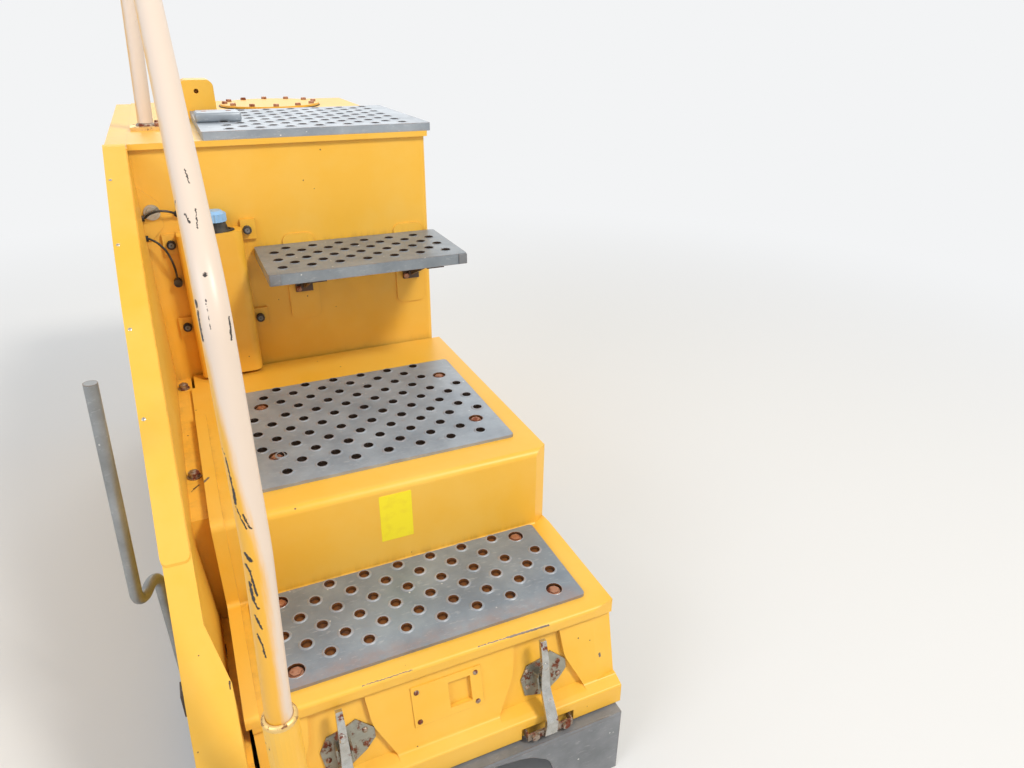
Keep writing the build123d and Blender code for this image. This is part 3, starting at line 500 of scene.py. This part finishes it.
# Rows of holes from the front, as (row, first hole, last hole).
LOWER_ROWS = [(0, 0, 5), (1, -0.5, 6.5), (2, -1, 6), (3, -0.5, 6.5), (4, 0, 5), (5, 0.5, 5.5)]
MIDDLE_ROWS = [(0, 0, 6), (1, 0.5, 5.5), (2, 0, 5), (3, -0.5, 6.5), (4, 0, 6), (5, -0.5, 6.5),
               (6, 0, 6), (7, -0.5, 6.5), (8, 1, 5), (9, 0.5, 5.5), (10, 0, 5), (11, 0.5, 5.5)]
HOLES = {
    "lower_tread_lips": ("cover", LIP, staggered((-128, -800), HOLE_PITCH, LOWER_ROWS, 361)),
    "middle_tread_lips": ("cover", LIP, staggered((-128, -509), HOLE_PITCH, MIDDLE_ROWS, 533)),
    "cantilever_step_lips": ("unit", SMALL_LIP, staggered((-49, -176), STEP_PITCH, even_rows(6), 817)),
    "top_tread_lips": ("unit", LIP[1:], staggered((-94.5, 44), HOLE_PITCH, even_rows(13), 1070)),
}
for name, (body, rings, places) in HOLES.items():
    lip = turned(rings, HOLE_SIDES, floor=rings is LIP)
    plate = step_steel if name.startswith("cantilever") else tread_steel
    wall = hole_rust if name.startswith("lower") else shaded_hole_steel
    lined(lip, plate, wall, inner_wall(HOLE_WALL))
    repeated(lip, places)
    fitted(lip, name, body)


# Bolts of the two lower treads: rusted M10 screws, each on a domed washer in a 30 mm hole with a
# pressed rim, sunk below the tread so that boots don't catch on it.
SCREWS = [(-186, -817, 355), (271, -817, 355), (-186, -652, 355), (271, -652, 355),
          (-138, -445, 527), (266, -459, 527), (-138, -228, 527), (266, -228, 527)]
WELL_WALL = 14.8             # radius in mm that takes in the wall of a well
coat(rusty_screw, "tread_bolts")
well = turned(((14.2, 0.1), (16.6, 5.9), (15.8, 6.6), (14.7, 6.3), (13.9, 0.5)), 20)
lined(well, tread_steel, hole_rust, inner_wall(WELL_WALL))
repeated(well, SCREWS)
fitted(well, "tread_bolt_wells", "cover")
washer = turned(((12.6, 0.6), (12.4, 1.6), (10.2, 2.6), (9.0, 2.8)), 20)
repeated(washer, SCREWS)
fitted(washer, "tread_bolt_washers", "cover", rusty_screw)
shank = turned(((5.6, 4.9), (5.2, 5.5), (3.4, 5.7)), 12)
repeated(shank, SCREWS)
fitted(shank, "tread_bolt_crowns", "cover", rusty_screw)


# Over-centre latches: stamped plates with two cheeks, and bowed levers of bright zinc-plated
# steel, gone red-brown with rust round their rivets. The keepers on the sill are rustier.
FRONT_TOP, FRONT_LEAN = (-876, 325), 0.25      # y and z in mm, and a slope close to its angle
POCKET_DEPTH, LATCH_PLATE = 9, 3
LEVER_X = (-139, 208)
LEVER_RIVET = (-1, -913.8, 292)                # x from the lever, and y and z
LATCH_RIVETS = ((-24, 232), (-22, 262), (38, 262), (36, 238))      # x from the lever, and z
latch_steel = plated_steel("bright_latch_steel", "D4D4D0", "9A9890", "70331C", 0.42, rough=0.2)
keeper_steel = plated_steel("rusted_keeper_steel", "B9AC9C", "8E7F70", "6E331B", 0.75, rough=0.45)
plate_steel = plated_steel("dull_latch_plate_steel", "B3B1A2", "85847A", "6E3A22", 0.55, rough=0.4)
coat(latch_steel, "latch_levers")
coat(plate_steel, "latch_plates")
coat(keeper_steel, "latch_keepers")


def front_y(z):
    """Y in mm of the cover's leaning front at height z."""
    return FRONT_TOP[0] - (FRONT_TOP[1] - z) * FRONT_LEAN


def facing_front(piece, places, lean=0.0):
    """Turns a piece made upright to face the front, lying back by the lean, and copies it about."""
    bpy.ops.object.select_all(action="DESELECT")
    piece.select_set(True)
    bpy.context.view_layer.objects.active = piece
    piece.matrix_world = Matrix.Rotation(pi / 2 - lean, 4, "X")
    bpy.ops.object.transform_apply(location=True, rotation=True, scale=True)
    repeated(piece, places)


rivet_spots = [(x + aside, front_y(z) + POCKET_DEPTH - LATCH_PLATE, z)
               for x in LEVER_X for aside, z in LATCH_RIVETS]
rivet = turned(((5.0, -0.4), (4.8, 0.9), (3.4, 2.3), (1.4, 2.9)), 14)
facing_front(rivet, rivet_spots, FRONT_LEAN)
fitted(rivet, "latch_rivets", "cover", keeper_steel)
pin_head = turned(((6.2, -0.5), (6.2, 1.6), (4.6, 2.6), (1.6, 3.0)), 16)
facing_front(pin_head, [(x + LEVER_RIVET[0], *LEVER_RIVET[1:]) for x in LEVER_X], FRONT_LEAN)
fitted(pin_head, "lever_rivets", "cover", latch_steel)


# Blank plate between the latches: thin yellow sheet with a window over a recess in the cover,
# held by a rusted rivet at each corner.
PLATE_RIVETS = [(-13, 301), (90, 301), (89, 248), (-13, 248)]      # x and z in mm
FRONT_PLATE = 2              # thickness in mm
plate_rivet = turned(((4.6, -0.5), (4.4, 0.9), (3.0, 2.1), (1.2, 2.6)), 14)
facing_front(plate_rivet, [(x, front_y(z) - FRONT_PLATE, z) for x, z in PLATE_RIVETS], FRONT_LEAN)
fitted(plate_rivet, "front_plate_rivets", "cover", keeper_steel)


# Blank vinyl label on the riser: smooth lemon yellow film with rounded corners and a thin rim,
# stuck on, and darkened in patches where dirt has crept in.
LABEL_X, LABEL_Z, LABEL_Y = (11, 72), (408, 508), -621
LABEL_CORNER, LABEL_RIM = 0.002, 0.0006        # m
LABEL_FILM, LABEL_FACE = 0.0003, 0.0002


def vinyl(name, colour, darkening):
    """Smooth film with patches of dirt."""
    material, tree, output = new_material(name)
    place = add(tree, "ShaderNodeTexCoord", {}, {}).outputs["Object"]
    cloud = add(tree, "ShaderNodeTexNoise", {}, {"Vector": place, "Scale": 60.0, "Detail": 5.0})
    tone = add(tree, "ShaderNodeMapRange", {}, {"Value": cloud.outputs[0], "From Min": 0.5,
                                                "From Max": 0.8, "To Max": 0.35})
    final = add(tree, "ShaderNodeMix", {"data_type": "RGBA"},
                {"Factor": tone.outputs[0], "A": linear(colour), "B": linear(darkening)})
    surface = add(tree, "ShaderNodeBsdfPrincipled", {},
                  {"Base Color": final.outputs["Result"], "Roughness": 0.35, "IOR": 1.46})
    tree.links.new(surface.outputs[0], output.inputs[0])
    return material


bpy.ops.object.select_all(action="DESELECT")
bpy.ops.mesh.primitive_plane_add(size=1, rotation=(pi / 2, 0, 0),
                                 location=(sum(LABEL_X) / 2000, LABEL_Y / 1000, sum(LABEL_Z) / 2000))
label = bpy.context.object
label.scale = ((LABEL_X[1] - LABEL_X[0]) / 1000, (LABEL_Z[1] - LABEL_Z[0]) / 1000, 1)
bpy.ops.object.transform_apply(location=True, rotation=True, scale=True)
bpy.ops.object.mode_set(mode="EDIT")
bpy.ops.mesh.bevel(offset=LABEL_CORNER, segments=4, affect="VERTICES")
bpy.ops.mesh.extrude_region_move(TRANSFORM_OT_translate={"value": (0, -LABEL_FILM, 0)})
bpy.ops.mesh.inset(thickness=LABEL_RIM)
bpy.ops.mesh.extrude_region_move(TRANSFORM_OT_translate={"value": (0, -LABEL_FACE, 0)})
bpy.ops.mesh.select_all(action="SELECT")
bpy.ops.mesh.normals_make_consistent(inside=False)
bpy.ops.object.mode_set(mode="OBJECT")
fitted(label, "blank_label", "cover", vinyl("lemon_vinyl", "F6E32A", "D9B72E"))


# Tank top: a round inspection cover of yellow sheet, held down over a black rubber gasket by
# twelve rusted cap nuts. A zinc-plated plug closes the tank's raised corner.
def moulded(name, colour, rough, grain=0.1, dust=0.3):
    """Moulded rubber or plastic: plain and dull, with a fine grain and a film of dust."""
    material, tree, output = new_material(name)
    place = add(tree, "ShaderNodeTexCoord", {}, {}).outputs["Object"]
    fine = add(tree, "ShaderNodeTexNoise", {}, {"Vector": place, "Scale": 700.0, "Detail": 2.0})
    cloud = add(tree, "ShaderNodeTexNoise", {}, {"Vector": place, "Scale": 30.0, "Detail": 5.0})
    dusty = add(tree, "ShaderNodeMapRange", {}, {"Value": cloud.outputs[0], "From Min": 0.45,
                                                 "From Max": 0.75, "To Max": dust})
    tone = add(tree, "ShaderNodeMix", {"data_type": "RGBA"},
               {"Factor": dusty.outputs[0], "A": linear(colour), "B": linear("9C927F")})
    bump = add(tree, "ShaderNodeBump", {}, {"Strength": grain, "Distance": 0.0005,
                                            "Height": fine.outputs[0]})
    surface = add(tree, "ShaderNodeBsdfPrincipled", {},
                  {"Base Color": tone.outputs["Result"], "Roughness": rough,
                   "Normal": bump.outputs[0]})
    tree.links.new(surface.outputs[0], output.inputs[0])
    return material


HATCH = (87, 755, 1052)
NUT_COUNT = 12
NUT_CIRCLE, NUT_BASE = 130, 1060               # radius and height in mm
black_rubber = moulded("black_rubber", "1D1D1E", 0.7)
coat(yellow_enamel, "inspection_cover")
coat(zinc_plate, "tank_plug")
gasket = turned(((146.5, 0.0), (147.5, 0.8), (147.5, 1.8), (146.0, 2.4), (140.0, 2.4), (140.0, 0.0)),
                48, floor=False)
repeated(gasket, [HATCH])
fitted(gasket, "inspection_cover_gasket", "unit", black_rubber)
nut_angles = [2 * pi * n / NUT_COUNT for n in range(NUT_COUNT)]
nut_spots = [(HATCH[0] + NUT_CIRCLE * cos(angle), HATCH[1] + NUT_CIRCLE * sin(angle), NUT_BASE)
             for angle in nut_angles]
hatch_nut = turned(((8.4, 0.1), (8.4, 1.2), (7.9, 1.6), (7.8, 6.0), (6.8, 6.7), (3.0, 6.9)), 12)
repeated(hatch_nut, nut_spots)
fitted(hatch_nut, "inspection_cover_bolt_caps", "unit", rusty_screw)


# Folded pad on the rear left of the top tread: 4 mm plate bent down on all sides, worn bright by
# boots, and held by two countersunk screws.
def slab(ends, radius):
    """Block between pairs of ends in mm along x, y and z, with rounded edges."""
    bpy.ops.object.select_all(action="DESELECT")
    bpy.ops.mesh.primitive_cube_add(size=0.001, location=[sum(pair) / 2000 for pair in ends])
    piece = bpy.context.object
    piece.scale = [high - low for low, high in ends]
    bpy.ops.object.transform_apply(location=True, rotation=True, scale=True)
    bpy.ops.object.mode_set(mode="EDIT")
    bpy.ops.mesh.select_all(action="SELECT")
    bpy.ops.mesh.bevel(offset=radius / 1000, segments=3, affect="EDGES")
    bpy.ops.mesh.normals_make_consistent(inside=False)
    bpy.ops.object.mode_set(mode="OBJECT")
    return piece


PAD_ENDS = ((-154, -54), (176, 252), (1070, 1091))
PAD_EDGE = 6                 # radius in mm of its folded edges
PAD_SCREWS = ((-132, 217, 1091), (-78, 217, 1091))
pad = slab(PAD_ENDS, PAD_EDGE)
fitted(pad, "top_tread_pad", "unit", tread_steel)
sunk = turned(((6.2, -0.3), (6.0, 0.5), (3.4, 0.6), (3.0, -0.2), (1.4, -0.2)), 16)
repeated(sunk, PAD_SCREWS)
fitted(sunk, "top_tread_pad_screws", "unit", rusty_screw)


# Third step: a folded tray on two brackets that are bolted to raised pads on the tank. The
# brackets are of thick plate, dark with old paint and rust, and so are the bolts in their legs.
bracket_steel = sprayed_enamel("rusty_bracket_steel", "4E443D", "6B5A4C", "2E2622", "8A4C26",
                               fade=0.6, chips=0.9, rough=0.62, worn=0.8)
coat(bracket_steel, "step_brackets", "rod_lug")
LEG_FRONT, LEG_MIDDLES = 7.5, (16.5, 281.5)
BOLT_ASIDE, BOLT_HEIGHT = -13, 709
step_bolt = turned(((7.2, -0.5), (7.2, 3.6), (6.4, 4.6), (4.0, 4.9), (2.0, 4.3)), 12)
facing_front(step_bolt, [(x + BOLT_ASIDE, LEG_FRONT, BOLT_HEIGHT) for x in LEG_MIDDLES])
fitted(step_bolt, "step_bracket_bolts", "unit", rusty_screw)


# Corner plates that close the folds of the third step: 3 mm grey steel, welded on and worn
# darker than the step.
CORNERS = {"left": (-83.5, -60), "right": (326, 345.5)}
CORNER_Y, CORNER_Z = (-220.5, -217.5), (793.5, 816)
CORNER_EDGE = 1
for side, ends in CORNERS.items():
    corner = slab((ends, CORNER_Y, CORNER_Z), CORNER_EDGE)
    fitted(corner, "third_step_corner_" + side, "unit", frame_grey)


# Washer bottle behind its cover: a flared rubber grommet and a pale blue screw cap. Four black
# rubber plugs with grey cores hold the cover's tabs to the tank.
cap_plastic = moulded("blue_cap_plastic", "8FBFEC", 0.35, 0.05, 0.12)
coat(cap_plastic, "bottle_cap")
coat(black_rubber, "bottle_neck", "plugs")
PLUGS = ((-253, 841), (-253, 650), (-93, 859), (-93, 650))         # x and z in mm
PLUG_FRONT = 1.0
plug_rubber = moulded("grey_core_rubber", "6E7074", 0.45, 0.05)
ring = turned(((9.2, -0.5), (9.0, 1.2), (7.6, 2.0), (6.4, 1.4), (6.2, -0.5)), 20, floor=False)
core = turned(((5.9, -0.5), (5.7, 0.9), (4.9, 1.1), (4.3, 0.2), (1.6, 0.1)), 16, floor=False)
for piece, name, finish in ((ring, "plug_rims", black_rubber), (core, "plug_cores", plug_rubber)):
    facing_front(piece, [(x, PLUG_FRONT, z) for x, z in PLUGS])
    fitted(piece, name, "unit", finish)


# Flange of the bottle's grommet: black rubber, moulded as a long oval to fit the cover's narrow
# top, and pressed into its hole.
FLANGE_PLACE = (-157, -7, 866)
FLANGE_STRETCH = 1.6         # length over width
flange = turned(((21.5, 0.0), (23.0, 0.6), (23.0, 2.2), (21.0, 3.4), (18.5, 3.8), (18.0, 0.0)), 36,
                floor=False)
flange.scale = (FLANGE_STRETCH, 1.0, 1.0)
bpy.ops.object.transform_apply(location=False, rotation=False, scale=True)
repeated(flange, [FLANGE_PLACE])
fitted(flange, "bottle_neck_flange", "unit", black_rubber)


# Side casing with its cover strip and the folded channel beside the steps, in the same enamel,
# with a few scrapes, and small pan-head screws along the strip.
CASING_MARKS = (
    ((-298, -491, 521), (-290, -479, 519), 2.0), ((-289, -477, 519), (-280, -467, 519), 3.4),
    ((-285, -658, 308), (-285, -736, 311), 4.0), ((-278.7, -860, 424), (-279.4, -866, 416), 3.0))
casing_enamel = sprayed_enamel("yellow_casing_enamel", **YELLOW, marks=CASING_MARKS)
coat(casing_enamel, "side_casing", "side_strip", "side_shelf")
coat(keeper_steel, "shelf_bolts")
SHELF_BOLTS = [(-285.5, -36, 530.5), (-285.5, -436, 530.5)]
tip = turned(((7.8, -0.3), (7.2, 0.7), (6.0, 1.0), (5.0, 1.0), (4.8, 2.6), (3.4, 3.4)), 16)
repeated(tip, SHELF_BOLTS)
fitted(tip, "shelf_bolt_tips", "unit", keeper_steel)
# Screws in the strip, as y and z there and its slope in degrees.
STRIP_X = -334.2
STRIP_SCREWS = ((-98.9, 1002.4, 26), (-269.9, 919.4, 34), (-424.2, 815.8, 38), (-552.4, 710.3, 41))
for number, (y, z, slope) in enumerate(STRIP_SCREWS):
    screw = turned(((3.4, -0.4), (3.3, 0.5), (2.4, 1.0), (1.3, 1.1), (1.1, 0.6)), 12)
    screw.matrix_world = Matrix.Rotation(radians(slope), 4, "X")
    bpy.ops.object.transform_apply(location=True, rotation=True, scale=True)
    repeated(screw, [(STRIP_X, y, z)])
    fitted(screw, "strip_screw_" + str(number + 1), "unit", zinc_plate)


# Handrail: 33.7 mm steel tube, bent in one piece and painted yellow. It is painted paler, to cream, high up
# and on its right as a painted highlight of sunlight, and chains and hooks have left black scratches.
RAIL_POINTS = ((-223, -1024, 380), (-223, -1024, 530), (-214, -1000, 740), (-212.5, -949, 1031),
               (-219, -60, 1660), (-222, 262, 1660), (-260, 262, 1057))
RAIL_BENDS = (200, 300, 130, 130, 130)
RAIL_R = 16.5
RAIL_SIDES = 40
TURN_STEPS = 60              # spin steps for half a turn
# Direction that the rail's painted sunlight highlight faces.
PAINTED_LIGHT_SIDE = (0.75, -0.3, 0.35)
# Scratches down the front of the rail, as start, end and width.
RAIL_MARKS = (
    ((-229, -981, 869), (-227.6, -986, 864), 1.8), ((-227.4, -987, 860), (-226.1, -995.7, 824), 2.6),
    ((-226.1, -995.7, 824), (-226.6, -997.8, 809), 4.4), ((-226.7, -998.3, 805), (-224, -1003.6, 792), 1.8),
    ((-224, -1003.6, 792), (-220.7, -1008, 780), 2.0), ((-221.5, -1004.6, 796), (-216.6, -1009, 780), 2.6),
    ((-226.7, -1008.5, 749), (-222.2, -1013.9, 741), 4.0), ((-228, -1009, 735), (-225.2, -1013.9, 728), 3.6),
    ((-225.2, -1013.9, 728), (-222.7, -1019.9, 697), 2.8), ((-227.5, -1014, 712), (-227.3, -1018, 690), 4.2),
    ((-227.3, -1018, 690), (-223.9, -1021.7, 679), 2.2),
    ((-228.7, -1019.8, 670), (-224.2, -1025.3, 652), 2.6),
    ((-229.9, -1022.6, 644), (-226.9, -1026.7, 630), 2.8),
    ((-226.9, -1026.7, 630), (-226.2, -1029.6, 613), 2.0),
    ((-213.2, -834.6, 1132), (-211.7, -852, 1119.6), 1.6),
    ((-228.7, -857, 1102.4), (-229.2, -858, 1098), 3.6),
    ((-221.8, -882, 1095), (-218.8, -895, 1088), 1.8), ((-210.6, -881, 1098.6), (-212.8, -904, 1083), 1.6),
    ((-227.6, -949.6, 1022), (-227.2, -952.5, 1018), 4.0), ((-218, -957.7, 1025), (-218.5, -969, 998), 1.8),
    ((-199.9, -961, 1005), (-201.3, -969, 984), 3.0), ((-227.4, -955, 1012), (-227.7, -963.5, 985.6), 4.0),
    ((-214.1, -944, 1047), (-214.3, -944.6, 1045.5), 4.0))


def sunlit_enamel(name, colour, sunlit_colour, primer, ink, marks):
    """Enamel painted paler high up and on the side that faces the right, as a painted highlight of sunlight.
    """
    material, tree, output = new_material(name)
    place = add(tree, "ShaderNodeTexCoord", {}, {}).outputs["Object"]
    facing = add(tree, "ShaderNodeNewGeometry", {}, {}).outputs["Normal"]
    lit_side = add(tree, "ShaderNodeVectorMath", {"operation": "DOT_PRODUCT"}, {0: facing, 1: PAINTED_LIGHT_SIDE})
    height = add(tree, "ShaderNodeSeparateXYZ", {}, {0: place})
    up = add(tree, "ShaderNodeMapRange", {}, {"Value": height.outputs[2], "From Min": 0.72,
                                              "From Max": 0.98, "To Max": 1.0})
    streak_place = add(tree, "ShaderNodeMapping", {}, {"Vector": place, "Scale": (1, 0.12, 0.12)})
    streak = add(tree, "ShaderNodeTexNoise", {}, {"Vector": streak_place.outputs[0], "Scale": 160.0,
                                                  "Detail": 5.0, "Roughness": 0.6})
    painted_light = add(tree, "ShaderNodeMath", {"operation": "ADD"},
                  {0: lit_side.outputs["Value"], 1: up.outputs[0]})
    uneven = add(tree, "ShaderNodeMath", {"operation": "MULTIPLY_ADD"},
                 {0: streak.outputs[0], 1: 0.5, 2: painted_light.outputs[0]})
    pale = add(tree, "ShaderNodeMapRange", {"interpolation_type": "SMOOTHSTEP"},
               {"Value": uneven.outputs[0], "From Min": 0.48, "From Max": 1.02, "To Max": 0.95})
    paint = add(tree, "ShaderNodeMix", {"data_type": "RGBA"},
                {"Factor": pale.outputs[0], "A": linear(colour), "B": linear(sunlit_colour)})
    # Specks of bare steel up to 2 mm, as left by a chain.
    fine = add(tree, "ShaderNodeTexNoise", {}, {"Vector": place, "Scale": 300.0, "Detail": 4.0})
    cell = add(tree, "ShaderNodeTexVoronoi", {}, {"Vector": place, "Scale": 60.0})
    chance = add(tree, "ShaderNodeSeparateColor", {}, {0: cell.outputs["Color"]})
    size = add(tree, "ShaderNodeMapRange", {}, {"Value": chance.outputs[1], "From Min": 0.5,
                                                "To Min": -0.05, "To Max": 0.14})
    jag = add(tree, "ShaderNodeMath", {"operation": "MULTIPLY_ADD"},
              {0: fine.outputs[0], 1: 0.12, 2: cell.outputs["Distance"]})
    depth = add(tree, "ShaderNodeMath", {"operation": "SUBTRACT"}, {0: size.outputs[0], 1: jag.outputs[0]})
    speck = add(tree, "ShaderNodeMapRange", {}, {"Value": depth.outputs[0], "From Min": -0.01,
                                                 "From Max": 0.01, "To Max": 0.8})
    spotted = add(tree, "ShaderNodeMix", {"data_type": "RGBA"},
                  {"Factor": speck.outputs[0], "A": paint.outputs["Result"], "B": linear(primer)})
    final = add(tree, "ShaderNodeMix", {"data_type": "RGBA"},
                {"Factor": scored(tree, place, marks), "A": spotted.outputs["Result"], "B": linear(ink)})
    bump = add(tree, "ShaderNodeBump", {}, {"Strength": 0.06, "Distance": 0.0008,
                                            "Height": streak.outputs[0]})
    surface = add(tree, "ShaderNodeBsdfPrincipled", {},
                  {"Base Color": final.outputs["Result"], "Roughness": 0.38, "IOR": 1.5,
                   "Normal": bump.outputs[0]})
    tree.links.new(surface.outputs[0], output.inputs[0])
    return material


def bent_tube(points, bends, radius, sides, turn_steps):
    """Tube along straight runs in mm, spun round the corners between them, with closed ends."""
    corners = [Vector(point) / 1000 for point in points]
    first = (corners[1] - corners[0]).normalized()
    bpy.ops.object.select_all(action="DESELECT")
    bpy.ops.mesh.primitive_circle_add(vertices=sides, radius=radius / 1000, location=corners[0],
                                      rotation=first.to_track_quat("Z", "Y").to_euler())
    bpy.ops.object.transform_apply(location=True, rotation=True, scale=True)
    tube = bpy.context.object
    bpy.ops.object.mode_set(mode="EDIT")
    bpy.ops.mesh.select_all(action="SELECT")
    here = corners[0]
    for before, corner, after, bend in zip(corners, corners[1:], corners[2:], bends):
        into, out = (corner - before).normalized(), (after - corner).normalized()
        angle = into.angle(out)
        back = bend / 1000 * tan(angle / 2)
        start = corner - into * back
        bpy.ops.mesh.extrude_region_move(TRANSFORM_OT_translate={"value": start - here})
        axis = into.cross(out).normalized()
        middle = start + axis.cross(into) * bend / 1000
        steps = max(3, round(turn_steps * angle / pi))
        bpy.ops.mesh.spin(steps=steps, angle=-angle, center=middle, axis=axis)
        here = corner + out * back
    bpy.ops.mesh.extrude_region_move(TRANSFORM_OT_translate={"value": corners[-1] - here})
    bpy.ops.mesh.select_all(action="SELECT")
    bpy.ops.mesh.fill_holes(sides=0)
    bpy.ops.mesh.normals_make_consistent(inside=False)
    bpy.ops.object.mode_set(mode="OBJECT")
    return tube


rail_enamel = sunlit_enamel("sunlit_rail_enamel", "E9AE38", "DDCDBE", "5E4A3C", "2E2826", RAIL_MARKS)
rail = bent_tube(RAIL_POINTS, RAIL_BENDS, RAIL_R, RAIL_SIDES, TURN_STEPS)
fitted(rail, "handrail_tube", "unit", rail_enamel)
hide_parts("handrail")


# Socket of the handrail: a stout tube in yellow enamel with a rough weld round its mouth. The rear
# end stands on a flange, held by a rusty weld and two nuts.
SOCKET_MARKS = (((-236, -1042, 505), (-210, -1042, 506), 3.0), ((-242, -1030, 500), (-240, -1035, 470), 3.0))
SOCKET_MOUTH = (-223, -1024, 508)
RAIL_FOOT = (-260, 262, 1060)
FOOT_NUTS = ((-233, 237, 1060), (-233, 287, 1060))
socket_enamel = sprayed_enamel("yellow_socket_enamel", **YELLOW, chips=0.6, worn=0.9, marks=SOCKET_MARKS)
weld_steel = plated_steel("painted_weld", "F4D9A0", "E3B765", "7A4A2C", 0.55, rough=0.45)
coat(socket_enamel, "handrail_socket")
coat(weld_steel, "rail_foot")
mouth = turned(((21.8, -5.0), (22.6, -1.5), (21.8, 1.6), (19.6, 3.4), (17.4, 3.8), (16.6, 2.6), (16.6, -5.0)),
               32, floor=False)
repeated(mouth, [SOCKET_MOUTH])
fitted(mouth, "socket_mouth_weld", "unit", weld_steel)
root = turned(((16.4, -2.0), (21.5, -0.5), (20.6, 2.5), (18.4, 5.0), (16.4, 6.4)), 28, floor=False)
repeated(root, [RAIL_FOOT])
fitted(root, "rail_foot_weld", "unit", keeper_steel)
nut = turned(((9.5, 0.1), (9.5, 1.6), (8.1, 2.0), (8.0, 7.0), (7.0, 7.9), (5.0, 8.1)), 12)
repeated(nut, FOOT_NUTS)
fitted(nut, "rail_foot_nuts", "unit", rusty_screw)


# Grab rod at the left: bare 20 mm steel bar, dull and stained, bent twice, with its foot welded
# into a lug on the rail.
ROD_POINTS = ((-385, -608, 809), (-403, -608, 392), (-372, -540, 412), (-368, -535, 80))
ROD_BENDS, ROD_R = (26, 26), 10
ROD_WELD = (-368.5, -535.6, 118)
rod_steel = worn_grey("bare_rod_steel", "9A9C9C", "7F807E", "C4C5C3", "86633F", metal=0.7)
rod = bent_tube(ROD_POINTS, ROD_BENDS, ROD_R, 24, 36)
fitted(rod, "grab_rod_bar", "unit", rod_steel)
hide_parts("grab_rod")
rod_weld = turned(((9.4, -1.0), (15.0, -0.6), (14.0, 2.2), (11.6, 4.6), (9.4, 5.6)), 24, floor=False)
repeated(rod_weld, [ROD_WELD])
fitted(rod_weld, "grab_rod_weld", "unit", keeper_steel)


# Cables between the casing and the tank, in smooth black PVC sheath, pushed through a rubber gland
# at each end.
CABLE_R = 2.4
CABLE_SIDES = 12
BEND_SHARE = 0.45            # share of the shorter run that a bend takes up
CABLES = {
    "upper_cable": ((-294, 4, 903), (-284, 0, 912), (-264, -2, 918), (-244, 2, 914), (-230, 11, 905)),
    "lower_cable": ((-294, 0, 861), (-280, -4, 853), (-265, -8, 835), (-257, -8, 810), (-254, -2, 786),
                    (-254, 6, 765))}
cable_sheath = moulded("black_cable_sheath", "202021", 0.5, 0.03)
coat(black_rubber, "cable_glands")
for name, points in CABLES.items():
    bends = []
    for before, corner, after in zip(points, points[1:], points[2:]):
        into, out = Vector(corner) - Vector(before), Vector(after) - Vector(corner)
        bends.append(BEND_SHARE * min(into.length, out.length) / tan(into.angle(out) / 2))
    cable = bent_tube(points, bends, CABLE_R, CABLE_SIDES, TURN_STEPS)
    fitted(cable, name + "_sheath", "unit", cable_sheath)
    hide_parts(name)
